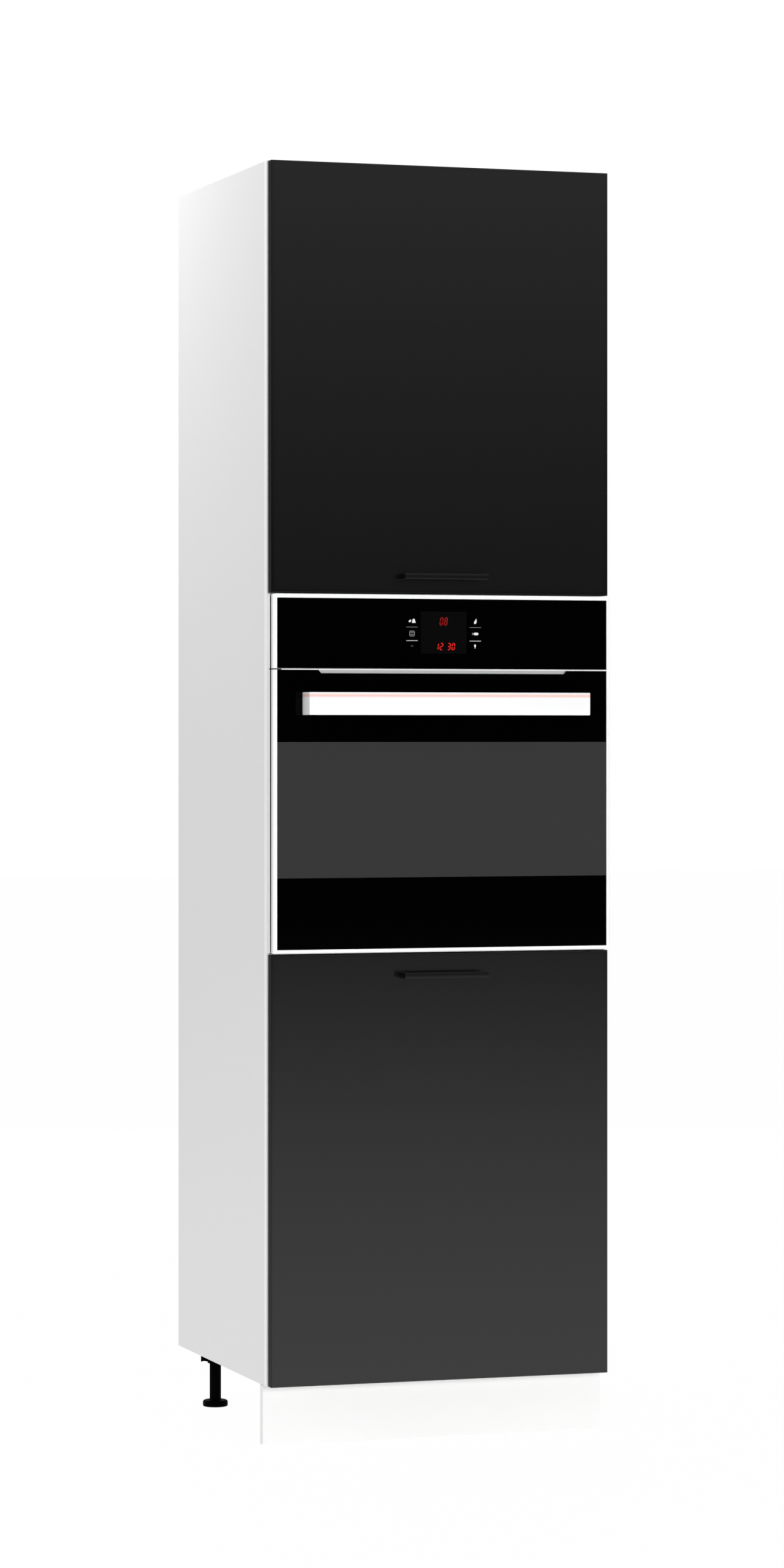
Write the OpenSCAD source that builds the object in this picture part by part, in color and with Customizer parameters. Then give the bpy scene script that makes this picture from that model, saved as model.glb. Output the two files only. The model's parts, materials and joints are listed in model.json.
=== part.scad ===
// Tall kitchen cabinet with two hinged doors and a built-in oven between them.
// Origin: middle of the footprint on the floor. +X right, +Y to the back, +Z up. Millimetres.

/* [Cabinet] */
// Width of the carcass
cab_w = 600; // [560:1:700]
// Depth of the carcass, without the doors
carcass_d = 550; // [545:1:640]
// Height of the legs and the plinth
plinth_h = 100; // [80:1:160]
// Height of the lower front, with its reveals
lower_h = 720; // [620:1:900]
// Height of the oven front zone, with its reveals
niche_h = 600; // [598:1:640]
// Height of the upper front, with its reveals
upper_h = 720; // [620:1:900]
// Thickness of the carcass boards
board_t = 18; // [16:0.5:19]
// Thickness of the thin back boards
back_t = 3; // [3:0.5:8]
// Distance of the thin backs from the rear edge
back_inset = 10; // [6:1:20]
// How far the fixed shelves reach into the oven zone
shelf_lap = 8; // [6:0.5:10]

/* [Doors] */
// Thickness of a door
door_t = 18; // [16:0.5:22]
// Gap between a door's back and the carcass
door_gap = 2; // [1.5:0.1:3]
// Reveal at each side of a front
side_reveal = 2; // [1:0.1:3]
// Reveal at the top and bottom of a front
end_reveal = 1; // [0.8:0.1:2]
// Edge radius of a door
door_edge_r = 2; // [0.5:0.1:4]
// Opening angle of a door
door_open = 100; // [80:1:100]

/* [Door handles] */
// Length of a door handle
handle_l = 148; // [100:1:260]
// Side of the handle's square section
handle_s = 10; // [8:0.5:14]
// How far a handle stands out from its door
handle_out = 30; // [26:0.5:45]
// Middle of the upper handle above the upper door's bottom edge
upper_handle_up = 29; // [20:1:80]
// Middle of the lower handle below the lower door's top edge
lower_handle_down = 36.5; // [20:0.5:80]

/* [Hinges] */
// Distance of a hinge from the door's end
hinge_inset = 100; // [80:1:140]
// Diameter of the hinge cup
cup_d = 35; // [35:0.1:35.2]
// Depth of the hinge cup
cup_deep = 12; // [11.8:0.1:12.4]
// Cup's middle from the door's hinge edge
cup_edge = 20.5; // [20.5:0.1:22]
// Turning axis of the door, inwards from its hinge edge
pole_in = 6.6; // [6.4:0.1:6.8]
// Turning axis of the door, forwards from its back face
pole_deep = 12; // [11.8:0.1:12.2]
// Diameter of the hinge pins
hinge_pin_d = 3; // [2.6:0.1:3.2]
// Radial play of a hinge pin in its eye
pin_play = 0.05; // [0.03:0.01:0.08]

/* [Shelves] */
// Thickness of a loose shelf
shelf_t = 18; // [16:0.5:22]
// Play at each end of a loose shelf
shelf_play = 1; // [0.5:0.1:2]
// Distance of a loose shelf from the carcass front
shelf_setback = 12; // [8:1:40]
// Diameter of the shelf pin holes
pin_hole_d = 5; // [5:0.1:5.2]
// Depth of the shelf pin holes
pin_hole_deep = 11; // [9:0.5:13]
// Pitch of the shelf pin holes
hole_pitch = 32; // [32:1:32]
// Distance of a hole row from the board's edge
row_inset = 37; // [37:1:50]

/* [Legs] */
// Diameter of a leg's column
leg_d = 20; // [16:1:30]
// Diameter of a leg's foot
foot_d = 44; // [36:1:56]
// Height of a foot
foot_h = 14; // [10:1:20]
// Leg's middle from the cabinet's side
leg_in = 48; // [40:1:70]
// Rear leg's middle from the cabinet's back
leg_rear = 70; // [50:1:120]
// Front leg's middle behind the plinth board
leg_front = 30; // [29:1:60]
// Thickness of the plinth board
plinth_t = 16; // [12:0.5:19]
// Distance of the plinth board behind the carcass front
plinth_setback = 23; // [15:1:60]

/* [Oven front] */
// How far the oven front stands out past the doors
oven_proud = 12; // [8:0.5:16]
// Height of the control panel
panel_h = 124; // [110:1:140]
// Gap between the control panel and the oven door
panel_gap = 2; // [1.5:0.1:4]
// Width of the frame seen round the oven glass
glass_border = 6.5; // [4:0.5:12]
// Thickness of a glass pane
glass_t = 4; // [3:0.5:5]
// Corner radius of the oven front
oven_corner_r = 3; // [1:0.5:6]
// Thickness of the oven's front flange
flange_t = 3; // [2:0.5:4]
// Thickness of the closed door seal
seal_t = 1.5; // [1:0.1:2.5]
// Width of the display window
display_w = 81; // [60:1:110]
// Height of the display window
display_h = 70; // [50:1:90]
// End of the oven handle from the oven front's side
oven_handle_in = 50.5; // [40:0.5:100]
// Height of the oven handle's bar
oven_handle_h = 38; // [20:1:44]
// How far the oven handle stands out from the glass
oven_handle_out = 40; // [34:1:50]
// Thickness of the oven handle's bar and ends
oven_handle_t = 10; // [8:0.5:14]
// Top of the handle bar below the oven door's top edge
oven_handle_down = 37.5; // [30:0.5:60]
// Opening angle of the oven door
oven_open = 90; // [75:1:90]

/* [Oven body] */
// Gap between the oven housing and each side board
housing_side_gap = 4; // [3:0.5:12]
// Gap over the oven housing
housing_top_gap = 12; // [8:1:30]
// Free depth behind the oven housing
housing_back_gap = 25; // [20:1:60]
// Thickness of the housing's sheet
sheet_t = 2; // [1.5:0.1:3]
// Cavity's inner wall from the housing's side
cavity_side = 46; // [44:1:70]
// Cavity's floor above the housing's bottom
cavity_up = 64; // [50:1:70]
// Room over the cavity for the cooling air and the controls
cavity_top = 158; // [150:1:200]
// Room behind the cavity for the fan's motor
cavity_back = 115; // [90:1:140]
// Corner radius of the cavity
cavity_r = 14; // [6:1:30]
// Pitch of the rack levels
level_pitch = 56; // [50:1:60]
// Diameter of the fan wheel
fan_d = 150; // [120:1:170]
// Diameter of the heating rods
rod_d = 7; // [6:0.5:9]

/* [Hidden] */
$fn = 48;
e = 0.01; // small overlap of a cut past a face

// Depth stations, from the back to the front
total_d = carcass_d + door_gap + door_t + oven_proud + oven_handle_out;
y_back = total_d / 2;
y_front = y_back - carcass_d;
y_door_back = y_front - door_gap;
y_door_front = y_door_back - door_t;
y_oven = y_door_front - oven_proud;
y_thin_back = y_back - back_inset;

// Height stations, from the floor up
z_niche = plinth_h + lower_h;
z_upper = z_niche + niche_h;
z_top = z_upper + upper_h;
z_oven_shelf = z_niche + shelf_lap;
z_fixed_shelf = z_upper - shelf_lap;
side_h = z_top - plinth_h;
in_w = cab_w - 2 * board_t;
door_w = cab_w - 2 * side_reveal;

// Doors: bottom edge and height of each
lower_z0 = plinth_h + end_reveal;
lower_door_h = lower_h - 2 * end_reveal;
upper_z0 = z_upper + end_reveal;
upper_door_h = upper_h - 2 * end_reveal;
lower_hinges = [lower_z0 + hinge_inset, lower_z0 + lower_door_h - hinge_inset];
upper_hinges = [upper_z0 + hinge_inset, upper_z0 + upper_door_h - hinge_inset];
lower_handle_z = lower_z0 + lower_door_h - lower_handle_down;
upper_handle_z = upper_z0 + upper_handle_up;

// Concealed hinge: one curved link between the arm and the cup, about a common turning axis
pole = [door_w / 2 - pole_in, y_door_back - pole_deep];
cup_x = door_w / 2 - cup_edge;
cup_pin_r = 8;
cup_pin_a = 106;
arm_pin_r = 26;
cup_pin = pole + cup_pin_r * [cos(cup_pin_a), sin(cup_pin_a)];
arm_pin = pole + arm_pin_r * [cos(cup_pin_a + door_open / 2), sin(cup_pin_a + door_open / 2)];
link_bow = 4;
link_t = 1.8;
eye_r = hinge_pin_d / 2 + 1;
link_half = 4.2;
cheek_in = link_half + 0.4;
cheek_t = 1.2;
arm_len = 62;
arm_high = 17;

cup_wall = 0.8;
system_x = row_inset;

// Shelf pins
pin_plate = 8;
lower_clear = z_oven_shelf - board_t - (plinth_h + board_t);
upper_clear = z_top - board_t - (z_fixed_shelf + board_t);
lower_floor = plinth_h + board_t;
upper_floor = z_fixed_shelf + board_t;
row_start = 96;
lower_count = floor((lower_clear - 2 * row_start) / hole_pitch);
upper_count = floor((upper_clear - 2 * row_start) / hole_pitch);
lower_level = floor(lower_count / 2);
upper_levels = [floor(upper_count * 0.2), floor(upper_count * 0.8)];
row_y = [y_front + row_inset, y_thin_back - back_t - row_inset];

// Oven front
oven_z0 = z_niche + end_reveal;
oven_z1 = z_upper - end_reveal;
panel_z0 = oven_z1 - panel_h;
oven_door_z1 = panel_z0 - panel_gap;
oven_door_h = oven_door_z1 - oven_z0;
y_flange = y_front - flange_t;
y_oven_door_back = y_flange - seal_t;
oven_door_t = y_oven_door_back - y_oven;
glass_w = door_w - 2 * glass_border;
oven_axis_up = 12;
oven_axis_in = 8;
oven_pivot = [y_oven + oven_axis_in, oven_z0 + oven_axis_up];
heel_r = 8;
lever_out = 30; // lever's middle from the cavity's inner wall
lever_x = (cab_w / 2 - board_t - housing_side_gap - cavity_side) + lever_out;
lever_t = 3;
lever_slot = 10;
pivot_d = 5;
oven_handle_l = door_w - 2 * oven_handle_in;
handle_bar_z = oven_door_z1 - oven_handle_down - oven_handle_h;

// Oven body
housing_w = in_w - 2 * housing_side_gap;
housing_h = z_fixed_shelf - z_oven_shelf - housing_top_gap;
housing_z0 = z_oven_shelf;
housing_y1 = y_back - housing_back_gap;
cavity_w = housing_w - 2 * cavity_side;
cavity_h = housing_h - cavity_up - cavity_top;
cavity_z0 = housing_z0 + cavity_up;
cavity_z1 = cavity_z0 + cavity_h;
cavity_y1 = housing_y1 - cavity_back;
fan_z = cavity_z0 + cavity_h / 2;
fan_box_d = 46;
level_z = [for (i = [1 : 4]) cavity_z0 + 20 + i * level_pitch];
wire_d = 5;
thin_wire_d = 3.2;
runner_in = 14;

white = [0.95, 0.95, 0.95];
anthracite = [0.17, 0.18, 0.19];
black = [0.05, 0.05, 0.05];
steel = [0.75, 0.76, 0.78];
enamel = [0.16, 0.17, 0.2];

// ---------- shared shapes ----------

// Box between two corners
module block(x, y, z) {
    translate([x[0], y[0], z[0]]) cube([x[1] - x[0], y[1] - y[0], z[1] - z[0]]);
}

// The same piece on the left and on the right
module both_sides() {
    children();
    mirror([1, 0, 0]) children();
}

// Rectangle with round corners, its middle at the origin
module rounded(w, h, r) {
    square([w - 2 * r, h], center = true);
    square([w, h - 2 * r], center = true);
    for (x = [-1, 1], y = [-1, 1])
        translate([x * (w / 2 - r), y * (h / 2 - r)]) circle(r);
}

// Upright outline standing on y = 0, with its lower or its upper corners round
module upright(w, h, r, low, high) {
    translate([0, h / 2]) rounded(w, h, r);
    if (!low) translate([-w / 2, 0]) square([w, h / 2]);
    if (!high) translate([-w / 2, h / 2]) square([w, h / 2]);
}

// Extrusion of a front-view outline from y0 back to y1
module facing(y0, y1) {
    translate([0, y1, 0]) rotate([90, 0, 0]) linear_extrude(y1 - y0) children();
}

// Extrusion of a side-view outline (y, z) between two values of x
module sideways(x0, x1) {
    translate([x0, 0, 0]) rotate([90, 0, 90]) linear_extrude(x1 - x0) children();
}

// Round bar or bore along Y
module rod_y(x, z, y0, y1, d) {
    translate([x, y0, z]) rotate([-90, 0, 0]) cylinder(d = d, h = y1 - y0);
}

// Round bar or bore along X
module rod_x(y, z, x0, x1, d) {
    translate([x0, y, z]) rotate([0, 90, 0]) cylinder(d = d, h = x1 - x0);
}

// Slab whose four front edges are round: width, y of back and front, z of both ends
module soft_slab(w, yb, yf, z0, z1, r) {
    intersection() {
        translate([0, 0, z0]) linear_extrude(z1 - z0) {
            translate([-w / 2, yf + r]) square([w, yb - yf - r]);
            translate([-w / 2 + r, yf]) square([w - 2 * r, r + e]);
            for (s = [-1, 1]) translate([s * (w / 2 - r), yf + r]) circle(r);
        }
        sideways(-w / 2, w / 2) {
            translate([yf + r, z0]) square([yb - yf - r, z1 - z0]);
            translate([yf, z0 + r]) square([r + e, z1 - z0 - 2 * r]);
            for (z = [z0 + r, z1 - r]) translate([yf + r, z]) circle(r);
        }
    }
}

// ---------- carcass ----------

groove_deep = 6;
groove_play = 0.15;
bolt_d = 7;
bolt_play = 0.05;
bolt_deep = 9;
cam_d = 15;
cam_deep = 12.5;
cam_in = 34;
// Bottom of each fixed board, with the face that its cam pockets open on
boards = [
    [plinth_h, -1], [z_oven_shelf - board_t, 1], [z_fixed_shelf, -1], [z_top - board_t, 1],
];
cam_y = [y_front + 60, y_back - 60];

// Groove for the thin backs, as a cutter
module back_groove(x, z) {
    block(x, [y_thin_back - back_t - groove_play, y_thin_back + groove_play], z);
}

// Rows of shelf pin holes in the right side board
module pin_holes(floor_z, count) {
    for (i = [0 : count], y = row_y)
        rod_x(y, floor_z + row_start + i * hole_pitch, in_w / 2 - e, in_w / 2 + pin_hole_deep,
            pin_hole_d);
}

// Holes for one hinge plate in the right side board
module plate_holes(z) {
    for (s = [-1, 1])
        rod_x(y_front + system_x, z + s * hole_pitch / 2, in_w / 2 - e,
            in_w / 2 + pin_hole_deep, pin_hole_d);
}

module side_board() {
    color(white)
    difference() {
        block([in_w / 2, cab_w / 2], [y_front, y_back], [plinth_h, z_top]);
        back_groove([in_w / 2 - e, in_w / 2 + groove_deep], [plinth_h - e, z_top + e]);
        pin_holes(lower_floor, lower_count);
        pin_holes(upper_floor, upper_count);
        for (z = concat(lower_hinges, upper_hinges)) plate_holes(z);
        for (b = boards, y = cam_y)
            rod_x(y, b[0] + board_t / 2, in_w / 2 - e, in_w / 2 + bolt_deep + bolt_play,
                bolt_d + 2 * bolt_play);
        for (z = oven_screw_z)
            rod_y(oven_screw_x, z, y_front - e, y_front + oven_screw_l,
                oven_screw_d + 2 * bolt_play);
    }
}

module side_left() {
    mirror([1, 0, 0]) side_board();
}

module side_right() {
    side_board();
}

// Fixed board with its cam pockets and, where a thin back ends in it, a groove
module fixed_board(b, groove_z) {
    z0 = b[0];
    pocket_z = b[1] > 0 ? z0 + board_t - cam_deep : z0 - e;
    color(white)
    difference() {
        block([-in_w / 2, in_w / 2], [y_front, y_back], [z0, z0 + board_t]);
        both_sides() for (y = cam_y) {
            translate([in_w / 2 - cam_in, y, pocket_z])
                cylinder(d = cam_d + 2 * bolt_play, h = cam_deep + e);
            rod_x(y, z0 + board_t / 2, in_w / 2 - cam_in, in_w / 2 + e, bolt_d + 1);
        }
        back_groove([-in_w / 2 - e, in_w / 2 + e], groove_z);
    }
}

module bottom_panel() {
    fixed_board(boards[0], [lower_floor - groove_deep, lower_floor + e]);
}

module oven_shelf() {
    z = z_oven_shelf - board_t;
    fixed_board(boards[1], [z - e, z + groove_deep]);
}

module upper_fixed_shelf() {
    fixed_board(boards[2], [upper_floor - groove_deep, upper_floor + e]);
}

module top_panel() {
    z = z_top - board_t;
    difference() {
        fixed_board(boards[3], [z - e, z + groove_deep]);
        for (x = bracket_x, y = bracket_screw_y)
            translate([x, y, z - e]) cylinder(d = wood_screw_d + 2 * bolt_play, h = 13);
    }
}

// Stiffening board across the back, at the top of the oven's niche
rail_h = 90;
rail_t = 16;
module rear_rail() {
    color(white)
    block([-in_w / 2, in_w / 2], [y_back - rail_t, y_back],
        [z_fixed_shelf - rail_h, z_fixed_shelf]);
}

// Thin back between the boards whose faces are at z0 and z1
module thin_back(z0, z1) {
    reach = groove_deep - groove_play;
    color(white)
    block([-in_w / 2 - reach, in_w / 2 + reach], [y_thin_back - back_t, y_thin_back],
        [z0 - reach, z1 + reach]);
}

module back_lower() {
    thin_back(lower_floor, z_oven_shelf - board_t);
}

module back_upper() {
    difference() {
        thin_back(upper_floor, z_top - board_t);
        for (x = bracket_x)
            rod_y(x, bracket_hole_z, y_thin_back - back_t - e, y_thin_back + e,
                bracket_hole_d + 3);
    }
}

// Loose shelf whose pins stand in the given hole of the rows
module loose_shelf(floor_z, level) {
    z = floor_z + row_start + level * hole_pitch + pin_hole_d / 2;
    color(white)
    block([-in_w / 2 + shelf_play, in_w / 2 - shelf_play],
        [y_front + shelf_setback, y_thin_back - back_t - shelf_play], [z, z + shelf_t]);
}

module shelf_lower() {
    loose_shelf(lower_floor, lower_level);
}

module shelf_upper_a() {
    loose_shelf(upper_floor, upper_levels[0]);
}

module shelf_upper_b() {
    loose_shelf(upper_floor, upper_levels[1]);
}

// One pin: a round peg in the side board with a flat-topped rest
module shelf_pin(y, z) {
    peg = pin_hole_d / 2 - pin_play;
    difference() {
        union() {
            rod_x(y, z, in_w / 2 - pin_plate, in_w / 2 + pin_hole_deep - 1, 2 * peg);
            rod_x(y, z, in_w / 2 - 1.5, in_w / 2, pin_hole_d + 4);
        }
        block([in_w / 2 - pin_plate - 1, in_w / 2], [y - 5, y + 5], [z + pin_hole_d / 2, z + 9]);
    }
}

module shelf_pins() {
    color(steel)
    both_sides() for (y = row_y) {
        shelf_pin(y, lower_floor + row_start + lower_level * hole_pitch);
        for (level = upper_levels)
            shelf_pin(y, upper_floor + row_start + level * hole_pitch);
    }
}

// Cam discs and their bolts, at each end of every fixed board
module cam_locks() {
    color(steel)
    both_sides() for (b = boards, y = cam_y) {
        z = b[1] > 0 ? b[0] + board_t - cam_deep : b[0];
        translate([in_w / 2 - cam_in, y, z]) cylinder(d = cam_d, h = cam_deep);
        rod_x(y, b[0] + board_t / 2, in_w / 2 - cam_in, in_w / 2 + bolt_deep, bolt_d);
    }
}

// Angle brackets under the top panel, for the wall screws
bracket_w = 30;
bracket_l = 40;
bracket_t = 2.5;
bracket_hole_d = 8;
wood_screw_d = 4;
bracket_x = [-in_w / 2 + 45, in_w / 2 - 45];
bracket_hole_z = z_top - board_t - 24;
bracket_screw_y = [y_thin_back - back_t - 14, y_thin_back - back_t - 30];
module wall_brackets() {
    z = z_top - board_t;
    y = y_thin_back - back_t;
    for (x = bracket_x) {
        side = [x - bracket_w / 2, x + bracket_w / 2];
        color(steel)
        difference() {
            union() {
                block(side, [y - bracket_t, y], [z - bracket_l, z]);
                block(side, [y - bracket_l, y], [z - bracket_t, z]);
            }
            rod_y(x, bracket_hole_z, y - bracket_t - e, y + e, bracket_hole_d);
            for (sy = bracket_screw_y)
                translate([x, sy, z - bracket_t - e])
                    cylinder(d = wood_screw_d + 2 * bolt_play, h = bracket_t + 2 * e);
        }
        color(steel) for (sy = bracket_screw_y) {
            translate([x, sy, z - bracket_t]) cylinder(d = wood_screw_d, h = 14);
            translate([x, sy, z - bracket_t - 2]) cylinder(d = 8, h = 2);
        }
    }
}

// ---------- legs and plinth ----------

socket_t = 7;
socket_d = 60;
collar_h = 24;
collar_wall = 3.5;
web_t = 3;
web_h = 21;
web_reach = 26;
web_arch = 14;
leg_play = 0.1;
plinth_y = y_front + plinth_setback;
leg_y = [plinth_y + plinth_t + leg_front, y_back - leg_rear];
leg_x = cab_w / 2 - leg_in;

module at_legs(rows) {
    for (s = [-1, 1], y = rows) translate([s * leg_x, y, 0]) children();
}

// One web of the socket, seen from the side: its lower edge is arched
module web_side() {
    foot_z = plinth_h - web_h;
    difference() {
        translate([0, foot_z]) square([web_reach, web_h - 1]);
        translate([web_reach - 5, foot_z + 1 - web_arch]) circle(web_arch);
    }
}

// Socket under the bottom panel: a round plate, a collar and four webs
module leg_brackets() {
    color(black)
    at_legs(leg_y)
    difference() {
        union() {
            translate([0, 0, plinth_h - socket_t]) cylinder(d = socket_d, h = socket_t);
            translate([0, 0, plinth_h - collar_h])
                cylinder(d = leg_d + 2 * collar_wall, h = collar_h);
            for (a = [0 : 90 : 270])
                rotate(a) translate([0, web_t / 2, 0])
                    rotate([90, 0, 0]) linear_extrude(web_t) web_side();
        }
        translate([0, 0, plinth_h - collar_h - e])
            cylinder(d = leg_d + 2 * leg_play, h = collar_h - socket_t + e);
    }
}

module leg_columns() {
    color(black)
    at_legs(leg_y)
    translate([0, 0, foot_h]) cylinder(d = leg_d, h = plinth_h - socket_t - foot_h);
}

// Foot: a disc with round edges, and a hollow fillet up to the leg
foot_low_r = 2;
foot_high_r = 4;
foot_neck = 3;
module leg_feet() {
    disc_h = foot_h - foot_neck;
    rim = foot_d / 2;
    neck = leg_d / 2 + foot_neck;
    color(black)
    at_legs(leg_y)
    rotate_extrude() {
        square([rim - foot_high_r, disc_h]);
        translate([0, foot_low_r]) square([rim, disc_h - foot_low_r - foot_high_r]);
        square([rim - foot_low_r, foot_low_r + 1]);
        translate([rim - foot_low_r, foot_low_r]) circle(foot_low_r);
        translate([rim - foot_high_r, disc_h - foot_high_r]) circle(foot_high_r);
        difference() {
            square([neck, foot_h]);
            translate([neck, foot_h]) circle(foot_neck);
        }
    }
}

plinth_play = 1;
module plinth_board() {
    color(white)
    block([-cab_w / 2, cab_w / 2], [plinth_y, plinth_y + plinth_t],
        [0, plinth_h - plinth_play]);
}

// Snap clips from the front legs to the plinth board
clip_z = 42;
clip_h = 18;
clip_wall = 3;
module plinth_clips() {
    reach = leg_front - leg_d / 2;
    inner = leg_d / 2 + leg_play;
    color(black)
    at_legs([leg_y[0]])
    translate([0, 0, clip_z])
    linear_extrude(clip_h)
    difference() {
        union() {
            circle(inner + clip_wall);
            translate([-clip_wall, -leg_front]) square([2 * clip_wall, reach]);
            translate([-16, -leg_front]) square([32, clip_wall]);
        }
        circle(inner);
        translate([-inner * 0.8, 0]) square([inner * 1.6, inner + clip_wall + 1]);
    }
}

// ---------- concealed hinges, all on the right-hand side ----------

plate_half = cheek_in - 0.3;
plate_high = 7;
plate_front = 14;
plate_rear = 16;
wing_t = 2.5;
wing_h = 22;
wing_w = 12;
euro_head_d = 9;
euro_head_t = 2;
nose_r = eye_r + 0.6;
arm_x = in_w / 2 - arm_high;
arm_screw_y = y_front + system_x + 10;
arm_screw_d = 5;

// Mounting plate on the side board: a raised body, two wings and their screws
module hinge_plate(z) {
    x = in_w / 2;
    y = y_front + system_x;
    difference() {
        union() {
            block([x - plate_high, x], [y - plate_front, y + plate_rear],
                [z - plate_half, z + plate_half]);
            block([x - wing_t, x], [y - wing_w / 2, y + wing_w / 2], [z - wing_h, z + wing_h]);
        }
        for (s = [-1, 1])
            rod_x(y, z + s * hole_pitch / 2, x - wing_t - 1, x + e, pin_hole_d);
    }
    for (s = [-1, 1]) {
        rod_x(y, z + s * hole_pitch / 2, x - wing_t - 0.5, x + pin_hole_deep - 1,
            pin_hole_d - 2 * pin_play);
        rod_x(y, z + s * hole_pitch / 2, x - wing_t - euro_head_t, x - wing_t, euro_head_d);
    }
}

module hinge_plates() {
    color(steel)
    for (z = concat(lower_hinges, upper_hinges)) hinge_plate(z);
}

// Arm: a channel over the plate whose cheeks end in two eyes with the link's pin
module hinge_arm(z) {
    rear = y_front + arm_len;
    near = in_w / 2 - wing_t;
    cheek = [
        [arm_x, rear], [near, rear], [near, y_front + 14], [near - 5, y_front + 3],
        [arm_pin[0] + nose_r, arm_pin[1]], [arm_pin[0] - nose_r, arm_pin[1]],
        [arm_x, y_front + 2],
    ];
    for (s = [-1, 1])
        translate([0, 0, z + s * (cheek_in + cheek_t / 2) - cheek_t / 2])
            linear_extrude(cheek_t) {
                polygon(cheek);
                translate(arm_pin) circle(nose_r);
            }
    difference() {
        block([arm_x, arm_x + cheek_t], [y_front + 2, rear], [z - cheek_in - 0.1, z + cheek_in + 0.1]);
        rod_x(arm_screw_y, z, arm_x - e, arm_x + cheek_t + e, arm_screw_d + 1);
    }
    translate([arm_pin[0], arm_pin[1], z - cheek_in - cheek_t])
        cylinder(d = hinge_pin_d, h = 2 * (cheek_in + cheek_t));
    // Depth screw between the arm and the plate
    rod_x(arm_screw_y, z, arm_x, in_w / 2 - plate_high, arm_screw_d);
}

module hinge_arms() {
    color(steel)
    for (z = concat(lower_hinges, upper_hinges)) hinge_arm(z);
}

// Curved link from the arm's pin to the cup's pin
module hinge_link(z) {
    chord = norm(cup_pin - arm_pin);
    along = (cup_pin - arm_pin) / chord;
    across = [along[1], -along[0]];
    arc_r = (chord * chord / 4 + link_bow * link_bow) / (2 * link_bow);
    centre = (arm_pin + cup_pin) / 2 + across * (link_bow - arc_r);
    translate([0, 0, z - link_half])
    linear_extrude(2 * link_half)
    difference() {
        union() {
            for (p = [arm_pin, cup_pin]) translate(p) circle(eye_r);
            intersection() {
                translate(centre) difference() {
                    circle(arc_r + link_t / 2);
                    circle(arc_r - link_t / 2);
                }
                polygon([centre, centre + 2 * (arm_pin - centre), centre + 4 * across * arc_r,
                    centre + 2 * (cup_pin - centre)]);
            }
        }
        for (p = [arm_pin, cup_pin]) translate(p) circle(d = hinge_pin_d + 2 * pin_play);
    }
}

module upper_links() {
    color(steel) for (z = upper_hinges) hinge_link(z);
}

module lower_links() {
    color(steel) for (z = lower_hinges) hinge_link(z);
}

wing_reach = 28;
cup_screw_z = 22.5;
cup_screw_x = cup_x - 9.5;
cup_screw_d = 3.5;
cup_screw_l = 12;
flange_cup_t = 0.8;

// Cup with its flange, the two stub pins of the link and two screws
module hinge_cup(z) {
    inner = cup_d / 2 - cup_wall;
    translate([cup_x, y_door_back, z]) rotate([90, 0, 0])
    rotate_extrude() polygon([
        [0, cup_deep], [cup_d / 2, cup_deep], [cup_d / 2, 0], [cup_d / 2 + 1, 0],
        [cup_d / 2 + 1, -flange_cup_t], [inner, -flange_cup_t], [inner, cup_deep - cup_wall],
        [0, cup_deep - cup_wall],
    ]);
    difference() {
        block([cup_x - 15, cup_x - 3], [y_door_back, y_door_back + flange_cup_t],
            [z - wing_reach, z + wing_reach]);
        rod_y(cup_x, z, y_door_back - e, y_door_back + 1, 2 * inner);
        for (s = [-1, 1])
            rod_y(cup_screw_x, z + s * cup_screw_z, y_door_back - e, y_door_back + 1,
                cup_screw_d + 0.4);
    }
    // Stub pins, cut to the inside of the cup's wall
    intersection() {
        rod_y(cup_x, z, y_door_back - cup_deep, y_door_back, 2 * inner + 0.4);
        for (s = [-1, 1])
            translate([cup_pin[0], cup_pin[1], z + (s > 0 ? cheek_in : -cup_d / 2)])
                cylinder(d = hinge_pin_d, h = cup_d / 2 - cheek_in);
    }
    for (s = [-1, 1]) {
        y = y_door_back + flange_cup_t;
        rod_y(cup_screw_x, z + s * cup_screw_z, y - cup_screw_l, y + 1.4, cup_screw_d);
        rod_y(cup_screw_x, z + s * cup_screw_z, y, y + 1.4, 7);
    }
}

module upper_cups() {
    color(steel) for (z = upper_hinges) hinge_cup(z);
}

module lower_cups() {
    color(steel) for (z = lower_hinges) hinge_cup(z);
}

// ---------- doors, handles and bumpers ----------

screw_d = 4;
screw_head_d = 8;
screw_head_t = 2;
handle_screw_x = handle_l / 2 - handle_s / 2;
handle_screw_in = 14;

module cabinet_door(z0, h, hinges, handle_z) {
    color(anthracite)
    difference() {
        soft_slab(door_w, y_door_back, y_door_front, z0, z0 + h, door_edge_r);
        for (z = hinges) {
            rod_y(cup_x, z, y_door_back - cup_deep - 0.1, y_door_back + e, cup_d + 0.1);
            for (s = [-1, 1])
                rod_y(cup_screw_x, z + s * cup_screw_z, y_door_back - cup_screw_l,
                    y_door_back + e, cup_screw_d + 0.1);
        }
        for (x = [-1, 1])
            rod_y(x * handle_screw_x, handle_z, y_door_front - e, y_door_back + e,
                screw_d + 0.2);
    }
}

module upper_door() {
    cabinet_door(upper_z0, upper_door_h, upper_hinges, upper_handle_z);
}

module lower_door() {
    cabinet_door(lower_z0, lower_door_h, lower_hinges, lower_handle_z);
}

// Square bridge handle, open behind its bar
module bridge_handle(z) {
    corner = 1;
    color(black)
    difference() {
        intersection() {
            facing(y_door_front - handle_out, y_door_front)
                translate([0, z]) rounded(handle_l, handle_s, corner);
            translate([0, 0, z - handle_s / 2]) linear_extrude(handle_s)
                difference() {
                    translate([0, y_door_front]) rounded(handle_l, 2 * handle_out, corner);
                    translate([0, y_door_front])
                        square([handle_l - 2 * handle_s, 2 * (handle_out - handle_s)],
                            center = true);
                }
        }
        for (x = [-1, 1])
            rod_y(x * handle_screw_x, z, y_door_front - handle_screw_in, y_door_front + e,
                screw_d + 0.1);
    }
}

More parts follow.
